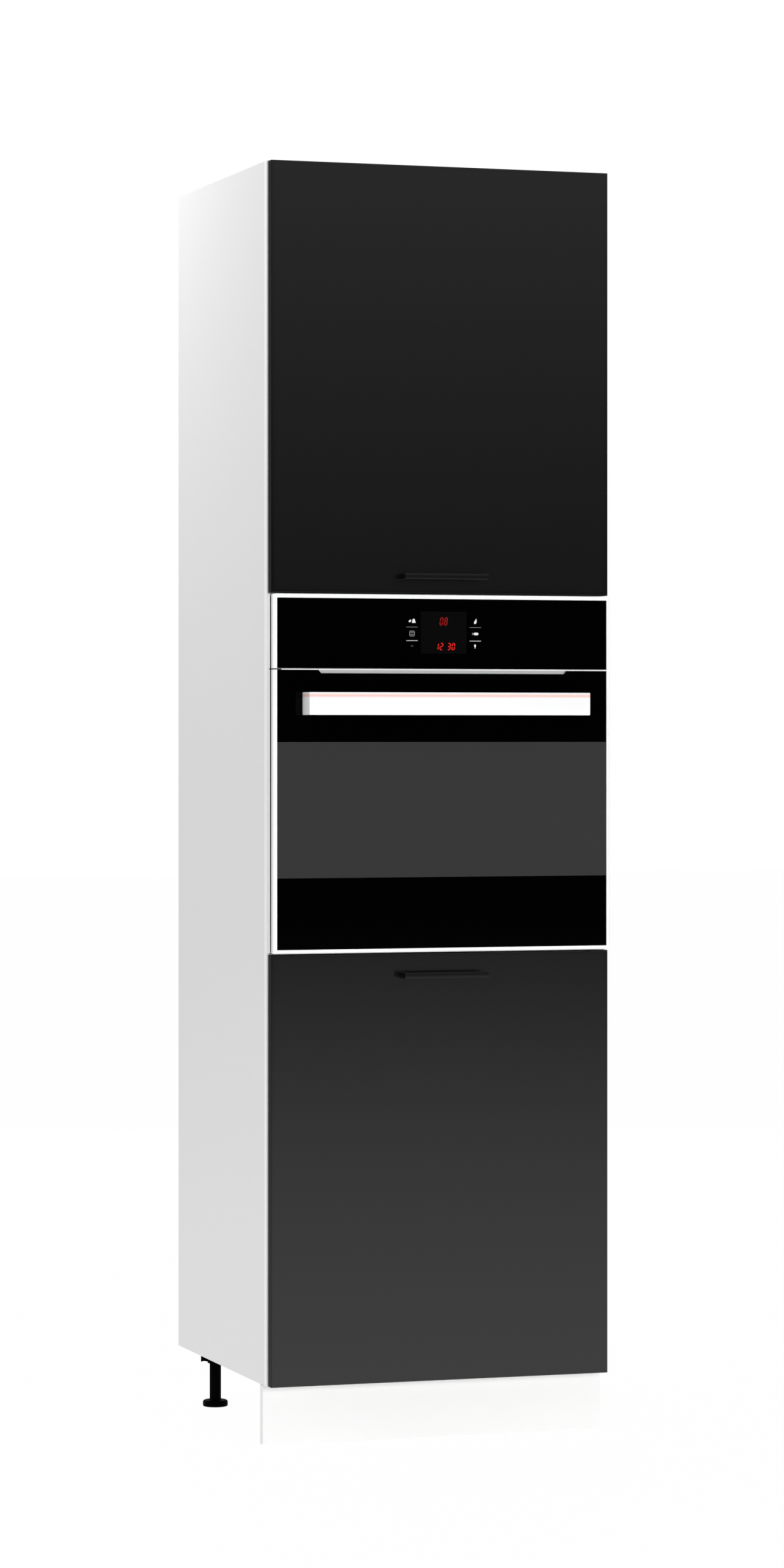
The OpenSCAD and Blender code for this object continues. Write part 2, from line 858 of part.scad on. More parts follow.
module upper_handle() {
    bridge_handle(upper_handle_z);
}

module lower_handle() {
    bridge_handle(lower_handle_z);
}

// Screws through a door into its handle
module handle_screws(z) {
    color(steel)
    for (x = [-1, 1]) {
        rod_y(x * handle_screw_x, z, y_door_front - handle_screw_in + 1, y_door_back, screw_d);
        rod_y(x * handle_screw_x, z, y_door_back, y_door_back + screw_head_t, screw_head_d);
    }
}

module upper_handle_screws() {
    handle_screws(upper_handle_z);
}

module lower_handle_screws() {
    handle_screws(lower_handle_z);
}

// Soft stops at the handle side of a door, over the left side board's edge
bumper_d = 8;
bumper_play = 0.3;
module bumpers(z0, h) {
    color([0.9, 0.9, 0.88])
    for (z = [z0 + 14, z0 + h - 14])
        rod_y(-cab_w / 2 + board_t / 2, z, y_door_back, y_front - bumper_play, bumper_d);
}

module upper_bumpers() {
    bumpers(upper_z0, upper_door_h);
}

module lower_bumpers() {
    bumpers(lower_z0, lower_door_h);
}

// ---------- oven: fixed front ----------

oven_screw_x = in_w / 2 + board_t / 2;
oven_screw_d = 4;
oven_screw_l = 25;
oven_screw_z = [cavity_z0 + 20, cavity_z1 - 20];
seal_w = 8;
seal_out = 4;
lever_low = 2.5;
lever_high = 9;
lever_eye_r = 3.3;
lever_deep = 45;
receiver_w = 12;
receiver_wall = 2;
receiver_h = 40;
receiver_pin = 5;
pocket_play = 0.3;

module cavity_outline(grow) {
    translate([0, (cavity_z0 + cavity_z1) / 2])
        rounded(cavity_w + 2 * grow, cavity_h + 2 * grow, cavity_r + grow);
}

// Flange that carries the whole oven on the edges of the side boards
module oven_front_flange() {
    z0 = oven_pivot[1] - lever_low - 1;
    z1 = oven_pivot[1] + lever_high + 1;
    color(steel)
    difference() {
        block([-door_w / 2 + 1, door_w / 2 - 1], [y_flange, y_front], [oven_z0, oven_z1]);
        facing(y_flange - e, y_front + e) cavity_outline(0);
        both_sides() {
            block([lever_x - lever_t / 2 - 1, lever_x + lever_t / 2 + 1],
                [y_flange - e, y_front + e], [z0, z1]);
            for (z = oven_screw_z) {
                rod_y(oven_screw_x, z, y_flange - e, y_front + e, oven_screw_d + 0.4);
                rod_y(oven_screw_x, z, y_flange - e, y_flange + 1.6, 2 * oven_screw_d);
            }
        }
        // Air outlet of the cooling fan, behind the gap under the control panel
        for (i = [-6 : 6])
            block([i * 30 - 11, i * 30 + 11], [y_flange - e, y_front + e],
                [oven_door_z1 - 22, oven_door_z1 - 16]);
    }
}

module oven_screws() {
    color(steel)
    both_sides() for (z = oven_screw_z) {
        rod_y(oven_screw_x, z, y_flange + 1.6, y_front + oven_screw_l - 1, oven_screw_d);
        rod_y(oven_screw_x, z, y_flange + 0.2, y_flange + 1.6, 2 * oven_screw_d - 0.4);
    }
}

// Gasket round the cavity's mouth
module door_seal() {
    color(black)
    facing(y_oven_door_back + 0.2, y_flange)
    difference() {
        cavity_outline(seal_out + seal_w);
        cavity_outline(seal_out);
    }
}

// Fixed levers that the oven door turns on, each with its receiver behind the flange
module oven_hinge_levers() {
    y = oven_pivot[0];
    z = oven_pivot[1];
    back = y_front + lever_deep;
    eye = lever_eye_r;
    half = receiver_w / 2;
    wall = receiver_wall;
    color(steel)
    both_sides() {
        sideways(lever_x - lever_t / 2, lever_x + lever_t / 2) {
            translate([y, z]) circle(eye);
            polygon([
                [y, z - eye], [y + 6, z - lever_low], [back, z - lever_low],
                [back, z + lever_high], [y_flange - 4, z + lever_high], [y, z + eye],
            ]);
        }
        rod_x(y, z, lever_x - 4.6, lever_x + 4.6, pivot_d);
        difference() {
            block([lever_x - half, lever_x + half], [y_front, back + receiver_w],
                [housing_z0 + sheet_t, z + receiver_h]);
            block([lever_x - half + wall, lever_x + half - wall],
                [y_front - e, back + receiver_w - wall - 1],
                [housing_z0 + sheet_t - e, z + receiver_h - wall]);
        }
        rod_x(back - 6, z + (lever_high - lever_low) / 2, lever_x - half + 1, lever_x + half - 1,
            receiver_pin);
    }
}

// Shell of the control panel or of the oven door, with a pocket for its front glass
module front_shell(z0, z1, low, high) {
    r = oven_corner_r;
    intersection() {
        facing(y_oven, y_oven_door_back)
            translate([0, z0]) upright(door_w, z1 - z0, r, low, high);
        translate([0, 0, z0]) linear_extrude(z1 - z0) {
            translate([-door_w / 2, y_oven + r]) square([door_w, oven_door_t - r]);
            translate([-door_w / 2 + r, y_oven]) square([door_w - 2 * r, r + e]);
            for (s = [-1, 1]) translate([s * (door_w / 2 - r), y_oven + r]) circle(r);
        }
    }
}

module glass_pocket(z0, z1) {
    block([-glass_w / 2, glass_w / 2], [y_oven - e, y_oven + glass_t + pocket_play], [z0, z1]);
}

module glass_pane(z0, z1) {
    w = glass_w / 2 - pocket_play;
    block([-w, w], [y_oven + pocket_play, y_oven + glass_t + pocket_play],
        [z0 + pocket_play, z1 - pocket_play]);
}

display_z = panel_z0 + panel_h / 2 - 1;
panel_wall = 8;
module panel_frame() {
    color(white)
    difference() {
        union() {
            front_shell(panel_z0, oven_z1, false, true);
            // Back edge that stands on the flange
            block([-door_w / 2, door_w / 2], [y_oven_door_back - e, y_flange],
                [panel_z0 + 6, oven_z1 - oven_corner_r]);
        }
        glass_pocket(panel_z0 - e, oven_z1 - glass_border);
        block([-door_w / 2 + panel_wall, door_w / 2 - panel_wall],
            [y_oven + glass_t + panel_wall, y_flange + e],
            [panel_z0 + panel_wall, oven_z1 - panel_wall]);
        block([-display_w / 2 - 4, display_w / 2 + 4], [y_oven, y_flange],
            [display_z - display_h / 2 - 4, display_z + display_h / 2 + 4]);
    }
}

module panel_glass() {
    color(black) glass_pane(panel_z0, oven_z1 - glass_border);
}

// Display and control board, on the back of the panel's glass
module display_unit() {
    y = y_oven + glass_t + pocket_play;
    color([0.12, 0.13, 0.14]) {
        block([-display_w / 2, display_w / 2], [y, y + 7],
            [display_z - display_h / 2, display_z + display_h / 2]);
        block([-display_w / 2 - 3, display_w / 2 + 3], [y + 7, y + 9],
            [display_z - display_h / 2 - 3, display_z + display_h / 2 + 3]);
        for (x = [-30, 0, 30])
            block([x - 8, x + 8], [y + 9, y + 15], [display_z - 14, display_z + 10]);
    }
}

// ---------- oven: door ----------

window_w = cavity_w + 12;
window_z = [cavity_z0 - 8, cavity_z1 + 8];
pane_z = [cavity_z0 - 20, cavity_z1 + 20];
pane_w = cavity_w + 36;
trim_h = 8;
trim_d = 16;
notch_in = 78;
notch_top = door_w / 2 - notch_in;
notch_low = notch_top - 5;
notch_h = 5.5;
channel_h = 62;
channel_d = 8;
channel_wall = 2.8;
channel_eye_r = 3.4;
handle_end_x = oven_handle_l / 2 - oven_handle_t / 2;
handle_mid_z = handle_bar_z + oven_handle_h / 2;
handle_grip = 20;
handle_seat_y = y_oven + glass_t + 6;

// Side-view outline of the door: round front edge below, rounder heel behind
module oven_door_side() {
    r = oven_corner_r;
    yf = y_oven;
    yb = y_oven_door_back;
    z0 = oven_z0;
    translate([yf + r, z0]) square([oven_door_t - r - heel_r, oven_door_h]);
    translate([yf, z0 + r]) square([r + e, oven_door_h - r]);
    translate([yb - heel_r - e, z0 + heel_r]) square([heel_r + e, oven_door_h - heel_r]);
    translate([yf + r, z0 + r]) circle(r);
    translate([yb - heel_r, z0 + heel_r]) circle(heel_r);
}

module oven_door_frame() {
    y = oven_pivot[0];
    z = oven_pivot[1];
    z1 = oven_door_z1;
    color(white)
    difference() {
        intersection() {
            front_shell(oven_z0, z1, true, false);
            sideways(-door_w / 2, door_w / 2) oven_door_side();
        }
        glass_pocket(oven_z0 + glass_border, z1 + e);
        block([-window_w / 2, window_w / 2], [y_oven, y_oven_door_back + e], window_z);
        block([-pane_w / 2, pane_w / 2], [y_oven_door_back - glass_t - pocket_play,
            y_oven_door_back + e], pane_z);
        block([-door_w / 2 + 2, door_w / 2 - 2], [y_oven + glass_t + pocket_play - e,
            y_oven + glass_t + trim_d], [z1 - trim_h, z1 + e]);
        both_sides() {
            block([lever_x - lever_slot / 2, lever_x + lever_slot / 2],
                [y - channel_eye_r - 0.2, y_oven_door_back + e], [oven_z0 - e, z + channel_h]);
            rod_y(handle_end_x, handle_mid_z, y_oven, y_oven_door_back + e, screw_d + 0.3);
            rod_y(handle_end_x, handle_mid_z, handle_seat_y, y_oven_door_back + e,
                screw_head_d + 1);
        }
    }
}

// Outer pane, with a shallow notch along its top edge
module oven_door_glass() {
    z1 = oven_door_z1 - pocket_play;
    color(black)
    difference() {
        glass_pane(oven_z0 + glass_border, oven_door_z1);
        facing(y_oven, y_oven + glass_t + 1) polygon([
            [-notch_top, z1 + 1], [-notch_top, z1], [-notch_low, z1 - notch_h],
            [notch_low, z1 - notch_h], [notch_top, z1], [notch_top, z1 + 1],
        ]);
        both_sides() rod_y(handle_end_x, handle_mid_z, y_oven, y_oven + glass_t + 1, screw_d + 2);
    }
}

// Middle and inner panes
module oven_door_panes() {
    y = y_oven_door_back;
    color([0.35, 0.38, 0.4, 0.6]) {
        block([-pane_w / 2 + pocket_play, pane_w / 2 - pocket_play], [y - glass_t, y],
            [pane_z[0] + pocket_play, pane_z[1] - pocket_play]);
        block([-window_w / 2, window_w / 2], [y - 3 * glass_t, y - 2 * glass_t], window_z);
    }
}

module oven_door_trim() {
    z1 = oven_door_z1;
    color(steel)
    difference() {
        block([-door_w / 2 + 2, door_w / 2 - 2], [y_oven + glass_t + pocket_play,
            y_oven + glass_t + trim_d], [z1 - trim_h, z1]);
        for (i = [-8 : 8])
            block([i * 28 - 10, i * 28 + 10], [y_oven + glass_t + 3, y_oven + glass_t + trim_d - 4],
                [z1 - 4, z1 + e]);
    }
}

// Flat bar on two full-height ends
handle_edge = 1.5;
module oven_handle() {
    z = handle_bar_z;
    reach = oven_handle_out;
    color(white)
    difference() {
        intersection() {
            facing(y_oven - reach, y_oven + pocket_play)
                translate([0, handle_mid_z]) rounded(oven_handle_l, oven_handle_h, handle_edge);
            translate([0, 0, z]) linear_extrude(oven_handle_h)
                difference() {
                    translate([0, y_oven + pocket_play])
                        rounded(oven_handle_l, 2 * (reach + pocket_play), handle_edge);
                    translate([0, y_oven + pocket_play])
                        square([oven_handle_l - 2 * oven_handle_t,
                            2 * (reach + pocket_play - oven_handle_t)], center = true);
                }
        }
        both_sides() rod_y(handle_end_x, handle_mid_z, y_oven - handle_grip, y_oven + 1,
            screw_d + 0.1);
    }
}

// Hinge channels in the door: two cheeks on the lever's pin, joined above it
module oven_door_hinges() {
    y = oven_pivot[0];
    z = oven_pivot[1];
    half = lever_slot / 2;
    wall = channel_wall;
    r = channel_eye_r;
    color(steel)
    both_sides() {
        difference() {
            for (s = [-1, 1])
                sideways(lever_x + (s > 0 ? half - wall : -half),
                    lever_x + (s > 0 ? half : -half + wall)) {
                    translate([y, z]) circle(r);
                    translate([y - r, z]) square([channel_d, channel_h - 1]);
                }
            rod_x(y, z, lever_x - half - e, lever_x + half + e, pivot_d + 2 * pin_play);
        }
        block([lever_x - half, lever_x + half], [y - r, y - r + channel_d],
            [z + 20, z + channel_h - 1]);
    }
}

module oven_handle_screws() {
    seat = handle_seat_y;
    color(steel)
    both_sides() {
        rod_y(handle_end_x, handle_mid_z, y_oven - handle_grip + 1, seat, screw_d);
        rod_y(handle_end_x, handle_mid_z, seat, seat + screw_head_t, screw_head_d);
    }
}

// ---------- oven: body ----------

wool_t = 20;
motor_d = 70;
motor_l = 42;
shaft_d = 6;
shaft_x = 0;
cover_side = 42;
cover_w = cavity_w - 2 * cover_side;
cover_z = [cavity_z0 + 28, cavity_z1 - 52];
cover_y = cavity_y1 - fan_box_d;
lamp_d = 42;
lamp_x = -cavity_w / 2 + lamp_d / 2 + 10;
lamp_z = cavity_z1 - lamp_d / 2 - 6;
rod_pitch = 60;
rod_rows = 6;
rod_z = cavity_z1 - 24;
rod_front = 90;
rod_y0 = y_front + rod_front;
rod_rear = 50;
rod_tail = 30;
strip_w = 10;
hanger_w = 12;
hanger_x = rod_pitch * (rod_rows - 3) / 2;
rod_x0 = -rod_pitch * (rod_rows - 1) / 2;
terminal_in = 88;
terminal_x = -housing_w / 2 + terminal_in;

module housing_outline(inset) {
    translate([0, housing_z0 + housing_h / 2])
        square([housing_w - 2 * inset, housing_h - 2 * inset], center = true);
}

// Sheet casing, open at the front: a pressed hump with louvres on its back, air slots above
// it and in the sides, and pan-head screws along the folded rear edges
hump_w = 280;
hump_h = 220;
hump_r = 20;
hump_out = 8;
hump_slots = 7;
hump_slot_l = 70;
rear_slot_z = housing_z0 + housing_h - 112;
rear_screw_in = 12;
rear_screw_z = [housing_z0 + 30, housing_z0 + housing_h / 2, housing_z0 + housing_h - 100];
module oven_housing() {
    color(steel)
    difference() {
        union() {
            facing(y_front, housing_y1) housing_outline(0);
            facing(housing_y1 - e, housing_y1 + hump_out) translate([0, fan_z])
                rounded(hump_w, hump_h, hump_r);
            both_sides() for (z = rear_screw_z)
                rod_y(housing_w / 2 - rear_screw_in, z, housing_y1 - e, housing_y1 + 2, 8);
        }
        facing(y_front - e, housing_y1 - sheet_t) housing_outline(sheet_t);
        facing(housing_y1 - sheet_t - e, housing_y1 + hump_out - sheet_t)
            translate([0, fan_z])
            rounded(hump_w - 2 * sheet_t, hump_h - 2 * sheet_t, hump_r - sheet_t);
        for (i = [1 : hump_slots], s = [-1, 1]) {
            z = fan_z + (i - (hump_slots + 1) / 2) * hump_h / (hump_slots + 1);
            block([s * hump_w / 4 - hump_slot_l / 2, s * hump_w / 4 + hump_slot_l / 2],
                [housing_y1 - sheet_t, housing_y1 + hump_out + e], [z - 3, z + 3]);
        }
        for (i = [-5 : 5])
            block([i * 34 - 12, i * 34 + 12], [housing_y1 - sheet_t - e, housing_y1 + e],
                [rear_slot_z, rear_slot_z + 6]);
        both_sides() for (i = [0 : 4])
            block([housing_w / 2 - sheet_t - e, housing_w / 2 + e],
                [housing_y1 - 160 + i * 26, housing_y1 - 145 + i * 26],
                [housing_z0 + housing_h - 60, housing_z0 + housing_h - 30]);
        rod_y(terminal_x, terminal_z, housing_y1 - sheet_t - e, housing_y1 + e, 22);
    }
}

// Mineral wool wrap round the cavity
module oven_insulation() {
    back = cavity_y1 + sheet_t;
    color([0.85, 0.82, 0.6])
    difference() {
        facing(y_front, back + wool_t) translate([0, (cavity_z0 + cavity_z1) / 2])
            square([cavity_w + 2 * (sheet_t + wool_t), cavity_h + 2 * (sheet_t + wool_t)],
                center = true);
        facing(y_front - e, back) cavity_outline(sheet_t);
        rod_y(shaft_x, fan_z, back - e, back + wool_t + e, motor_d + 10);
        rod_y(lamp_x, lamp_z, back - e, back + wool_t + e, lamp_d - 6);
        for (x = [rod_x0, -rod_x0]) rod_y(x, rod_z, back - e, back + wool_t + e, rod_d + 8);
    }
}

// Enamelled cavity, open at the front
module oven_cavity() {
    back = cavity_y1 + sheet_t;
    color(enamel)
    difference() {
        facing(y_front, back) cavity_outline(sheet_t);
        facing(y_front - e, cavity_y1) cavity_outline(0);
        rod_y(shaft_x, fan_z, cavity_y1 - e, back + e, shaft_d + 6);
        rod_y(lamp_x, lamp_z, cavity_y1 - e, back + e, lamp_d - 10);
        for (x = [rod_x0, -rod_x0]) rod_y(x, rod_z, cavity_y1 - e, back + e, rod_d + 0.4);
    }
}

// Ladders of wire at the cavity's walls, on four studs
module side_runners() {
    post_x = cavity_w / 2 - 5;
    rail_x = post_x - wire_d / 2 - thin_wire_d / 2 + 0.3;
    y = [y_front + 40, cover_y - 30];
    z0 = level_z[0] - 12;
    z1 = level_z[len(level_z) - 1] + 26;
    color(steel)
    both_sides() {
        for (py = y) {
            translate([post_x, py, z0]) cylinder(d = wire_d, h = z1 - z0, $fn = 24);
            for (z = [z0 + 8, z1 - 8]) rod_x(py, z, post_x, cavity_w / 2, 8);
        }
        for (z = concat([z0, z1])) {
            rod_y(post_x, z, y[0], y[1], wire_d);
            for (py = y) translate([post_x, py, z]) sphere(d = wire_d, $fn = 24);
        }
        for (z = level_z, dz = [0, 16])
            rod_y(rail_x, z + dz, y[0] - 8, y[1] + 8, thin_wire_d);
    }
}

// Half-width of what slides on the rails, and the height at which it lies
slide_x = cavity_w / 2 - 10.5;
rack_y = [y_front + 16, cover_y - 10];
rail_drop = thin_wire_d / 2 + wire_d / 2;

module wire_rack() {
    z = level_z[2] + rail_drop - 0.3;
    bar_z = z + wire_d / 2 + thin_wire_d / 2 - 0.4;
    n = 17;
    color(steel) {
        for (s = [-1, 1]) rod_y(s * slide_x, z, rack_y[0], rack_y[1], wire_d);
        for (y = [rack_y[0], (rack_y[0] + rack_y[1]) / 2, rack_y[1]])
            rod_x(y, z, -slide_x, slide_x, wire_d);
        for (s = [-1, 1], y = rack_y) translate([s * slide_x, y, z]) sphere(d = wire_d);
        for (i = [1 : n])
            rod_y(-slide_x + i * 2 * slide_x / (n + 1), bar_z, rack_y[0], rack_y[1],
                thin_wire_d);
    }
}

// Shallow tray whose rim lies on the rails
tray_deep = 26;
tray_t = 1.2;
tray_corner = 12;
tray_rim_x = 13;
tray_rim_y = 10;
module baking_tray() {
    z = level_z[0] + thin_wire_d / 2 + 0.1;
    w = 2 * slide_x + 3;
    d = rack_y[1] - rack_y[0];
    t = tray_t;
    r = tray_corner;
    bowl_w = w - 2 * tray_rim_x;
    bowl_d = d - 2 * tray_rim_y;
    color(enamel)
    translate([0, (rack_y[0] + rack_y[1]) / 2, z])
    difference() {
        union() {
            linear_extrude(t) rounded(w, d, r);
            translate([0, 0, -tray_deep]) linear_extrude(tray_deep + t) rounded(bowl_w, bowl_d, r);
        }
        translate([0, 0, -tray_deep + t]) linear_extrude(tray_deep + t)
            rounded(bowl_w - 2 * t, bowl_d - 2 * t, r - t);
    }
}

// Grill rod: six legs joined by half-round bends, held by two strips under the roof
module grill_element() {
    y1 = cover_y - rod_rear;
    top = rod_z + rod_d / 2;
    bend = rod_pitch / 2;
    last = rod_rows - 1;
    color(steel) {
        for (i = [0 : last])
            rod_y(rod_x0 + i * rod_pitch, rod_z, rod_y0,
                i == 0 || i == last ? cavity_y1 + rod_tail : y1, rod_d);
        for (i = [0 : last - 1])
            translate([rod_x0 + (i + 0.5) * rod_pitch, i % 2 == 0 ? rod_y0 : y1, rod_z])
                rotate(i % 2 == 0 ? 180 : 0)
                    rotate_extrude(angle = 180) translate([bend, 0]) circle(d = rod_d, $fn = 24);
        for (y = [rod_y0 + bend, y1 - bend - strip_w]) {
            block([rod_x0 - rod_d, -rod_x0 + rod_d], [y, y + strip_w], [top - 0.6, top + 1]);
            for (s = [-1, 1])
                block([s * hanger_x - hanger_w / 2, s * hanger_x + hanger_w / 2],
                    [y + 2, y + strip_w - 2], [top, cavity_z1]);
        }
    }
}

// Pressed cover in front of the fan: round intake grille, outlet slots along both sides
module fan_cover() {
    mid = (cover_z[0] + cover_z[1]) / 2;
    h = cover_z[1] - cover_z[0];
    t = 1.5;
    color(enamel)
    difference() {
        facing(cover_y, cavity_y1) translate([0, mid]) rounded(cover_w, h, 16);
        facing(cover_y + t, cavity_y1 + e) translate([0, mid])
            rounded(cover_w - 2 * t, h - 2 * t, 16 - t);
        translate([shaft_x, cover_y - e, fan_z]) rotate([-90, 0, 0]) {
            cylinder(d = 16, h = t + 2 * e);
            for (ring = [24, 46], a = [0 : 24 : 359])
                rotate(a + ring) translate([ring - 8, -2, 0]) cube([16, 4, t + 2 * e]);
        }
        both_sides() for (i = [-5 : 5])
            block([cover_w / 2 - 44, cover_w / 2 - 20], [cover_y - e, cover_y + t + e],
                [mid + i * 20 - 2.5, mid + i * 20 + 2.5]);
    }
}

module fan_motor() {
    y = cavity_y1 + sheet_t;
    color(steel)
    difference() {
        union() {
            rod_y(shaft_x, fan_z, y, y + motor_l, motor_d);
            block([shaft_x - 12, shaft_x + 12], [y, y + motor_l + 8], [fan_z + 10, fan_z + 33]);
            rod_y(shaft_x, fan_z, y + motor_l - e, y + motor_l + 6, 20);
        }
        rod_y(shaft_x, fan_z, y - e, y + motor_l - 4, shaft_d + 2 * pin_play);
    }
}

// Radial wheel with bent-up blades on a flat disc, and its shaft
module fan_wheel() {
    y = cavity_y1 - 12;
    blades = 10;
    color(steel) {
        rod_y(shaft_x, fan_z, y - 18, cavity_y1 + sheet_t + motor_l - 5, shaft_d);
        rod_y(shaft_x, fan_z, y - 14, y + 4, 16);
        translate([shaft_x, y, fan_z]) rotate([90, 0, 0]) {
            cylinder(d = fan_d, h = 1.2);
            for (i = [0 : blades - 1])
                rotate(i * 360 / blades) translate([fan_d / 4, 0, 0])
                    rotate(25) translate([0, -0.6, 0]) cube([fan_d / 4 - 8, 1.2, 22]);
        }
    }
}

// Glass cover of the lamp, and its holder behind the cavity
module oven_lamp() {
    color([0.9, 0.9, 0.85]) {
        rod_y(lamp_x, lamp_z, cavity_y1 - 4, cavity_y1, lamp_d);
        rod_y(lamp_x, lamp_z, cavity_y1 - 14, cavity_y1 - 4, lamp_d - 8);
        rod_y(lamp_x, lamp_z, cavity_y1, cavity_y1 + 30, lamp_d - 10.4);
    }
}

// Cover of the supply terminals, low on the back, with a bare cable gland
terminal_z = housing_z0 + 34;
terminal_w = 76;
terminal_h = 44;
terminal_d = 12;
terminal_wall = 3;
gland_d = 14;
gland_bore = 9;
gland_l = 11;
module terminal_cover() {
    y = housing_y1;
    inner = terminal_wall;
    color(black)
    difference() {
        union() {
            facing(y, y + terminal_d) translate([terminal_x, terminal_z])
                rounded(terminal_w, terminal_h, 4);
            rod_y(terminal_x, terminal_z, y + terminal_d - e, y + terminal_d + gland_l, gland_d);
        }
        facing(y - e, y + terminal_d - inner) translate([terminal_x, terminal_z])
            rounded(terminal_w - 2 * inner, terminal_h - 2 * inner, 2);
        rod_y(terminal_x, terminal_z, y + terminal_d - inner - e, y + terminal_d + gland_l + e,
            gland_bore);
    }
}

side_left();
side_right();
bottom_panel();
oven_shelf();
upper_fixed_shelf();
top_panel();
rear_rail();
back_lower();
back_upper();
shelf_lower();
shelf_upper_a();
shelf_upper_b();
shelf_pins();
cam_locks();
leg_brackets();
leg_columns();
leg_feet();
plinth_board();
plinth_clips();
wall_brackets();
hinge_plates();
hinge_arms();
oven_housing();
oven_insulation();
oven_cavity();
oven_front_flange();
door_seal();
oven_hinge_levers();
side_runners();
wire_rack();
baking_tray();
grill_element();
fan_cover();
fan_motor();
fan_wheel();
oven_lamp();
terminal_cover();
panel_frame();
panel_glass();
display_unit();
oven_screws();
upper_door();
upper_handle();
upper_cups();
upper_bumpers();
upper_handle_screws();
upper_links();
lower_door();
lower_handle();
lower_cups();
lower_bumpers();
lower_handle_screws();
lower_links();
oven_door_frame();
oven_door_glass();
oven_door_panes();
oven_handle();
oven_handle_screws();
oven_door_trim();
oven_door_hinges();
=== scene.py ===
# Tall kitchen cabinet with a built-in oven: finishes, small parts, light and camera.
import json
import math
import bmesh
import bpy
import numpy as np
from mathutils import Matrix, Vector


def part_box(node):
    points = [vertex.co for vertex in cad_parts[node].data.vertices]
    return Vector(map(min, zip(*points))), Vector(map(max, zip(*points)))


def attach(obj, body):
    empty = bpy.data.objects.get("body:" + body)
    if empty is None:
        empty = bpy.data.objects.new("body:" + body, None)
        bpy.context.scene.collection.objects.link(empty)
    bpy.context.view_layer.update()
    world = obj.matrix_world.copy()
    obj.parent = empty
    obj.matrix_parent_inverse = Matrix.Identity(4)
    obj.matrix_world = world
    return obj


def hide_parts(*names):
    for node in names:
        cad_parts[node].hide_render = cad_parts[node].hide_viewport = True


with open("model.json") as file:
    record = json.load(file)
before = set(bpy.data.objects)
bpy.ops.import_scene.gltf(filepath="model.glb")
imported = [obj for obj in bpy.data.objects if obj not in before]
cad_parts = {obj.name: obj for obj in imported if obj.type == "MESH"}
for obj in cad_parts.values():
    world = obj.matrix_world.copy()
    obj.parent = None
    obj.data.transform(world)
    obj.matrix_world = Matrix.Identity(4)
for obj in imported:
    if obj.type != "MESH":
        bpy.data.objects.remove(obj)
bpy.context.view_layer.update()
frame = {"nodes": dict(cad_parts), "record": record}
nodes = frame["nodes"]
mm = 0.001
axisX, axisY, axisZ = 0, 1, 2
print("stage: frame loaded,", len(nodes), "nodes")


# a node's two sides, middle and length along an axis, in metres
def low(node, axis):
    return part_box(node)[0][axis]


def high(node, axis):
    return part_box(node)[1][axis]


def middle(node, axis):
    return (low(node, axis) + high(node, axis)) / 2


def span(node, axis):
    return high(node, axis) - low(node, axis)


def gridFaces(rows, columns, closeColumns=False):
    # quads between neighbouring points of a rows x columns grid
    i = np.arange(rows - 1)
    j = np.arange(columns if closeColumns else columns - 1)
    i, j = np.meshgrid(i, j, indexing="ij")
    iNext, jNext = (i + 1) % rows, (j + 1) % columns
    quads = [i * columns + j, iNext * columns + j, iNext * columns + jNext, i * columns + jNext]
    return np.stack(quads, -1).reshape(-1, 4).tolist()


def closedTube(rings, count):
    # a grid closed round its columns, with a flat face over its first and its last ring
    last = (rings - 1) * count
    caps = [list(range(count))[::-1], [last + k for k in range(count)]]
    return gridFaces(rings, count, closeColumns=True) + caps


sharpAngle = 35  # edges sharper than this many degrees stay crisp


def addPiece(name, shape, material, body, stands=()):
    # shape: points and faces; faces are turned outwards, and the piece rides on its body
    # stands: the nodes that it is seen instead of
    mesh = bpy.data.meshes.new(name)
    mesh.from_pydata(np.asarray(shape[0], float).tolist(), [], shape[1])
    turned = bmesh.new()
    turned.from_mesh(mesh)
    bmesh.ops.recalc_face_normals(turned, faces=turned.faces)
    turned.to_mesh(mesh)
    turned.free()
    mesh.polygons.foreach_set("use_smooth", np.ones(len(mesh.polygons), bool))
    mesh.set_sharp_from_angle(angle=math.radians(sharpAngle))
    mesh.materials.append(material)
    mesh.update()
    piece = bpy.data.objects.new(name, mesh)
    bpy.context.scene.collection.objects.link(piece)
    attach(piece, body)
    if stands:
        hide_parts(*stands)


def joinShapes(shapes):
    # one set of points and faces from several
    points, faces, start = [], [], 0
    for shapePoints, shapeFaces in shapes:
        points.append(np.asarray(shapePoints, float))
        faces += [[corner + start for corner in face] for face in shapeFaces]
        start += len(shapePoints)
    return np.concatenate(points), faces


def shaderOf(material):
    return material.node_tree.nodes["Principled BSDF"]


def addNode(tree, kind, links=None, **settings):
    # links: input name -> a socket to join, or a constant
    node = tree.nodes.new(kind)
    for key, value in settings.items():
        setattr(node, key, value)
    for key, value in (links or {}).items():
        if isinstance(value, bpy.types.NodeSocket):
            tree.links.new(value, node.inputs[key])
        else:
            node.inputs[key].default_value = value
    return node


def addMath(tree, operation, *values):
    # each value is a socket or a number
    node = addNode(tree, "ShaderNodeMath", dict(enumerate(values)), operation=operation)
    return node.outputs[0]


def addMix(tree, share, first, second, **settings):
    # the first colour where share is 0, the second where it is 1
    node = addNode(tree, "ShaderNodeMix", {0: share, 6: first, 7: second}, data_type="RGBA",
                   **settings)
    return node.outputs[2]


def placeAlong(tree, axis):
    # a point's own X, Y or Z on its piece
    place = addNode(tree, "ShaderNodeTexCoord")
    return addNode(tree, "ShaderNodeSeparateXYZ", {0: place.outputs["Object"]}).outputs[axis]


def distanceFrom(tree, value, centre):
    # |value - centre|
    return addMath(tree, "ABSOLUTE", addMath(tree, "SUBTRACT", value, centre))


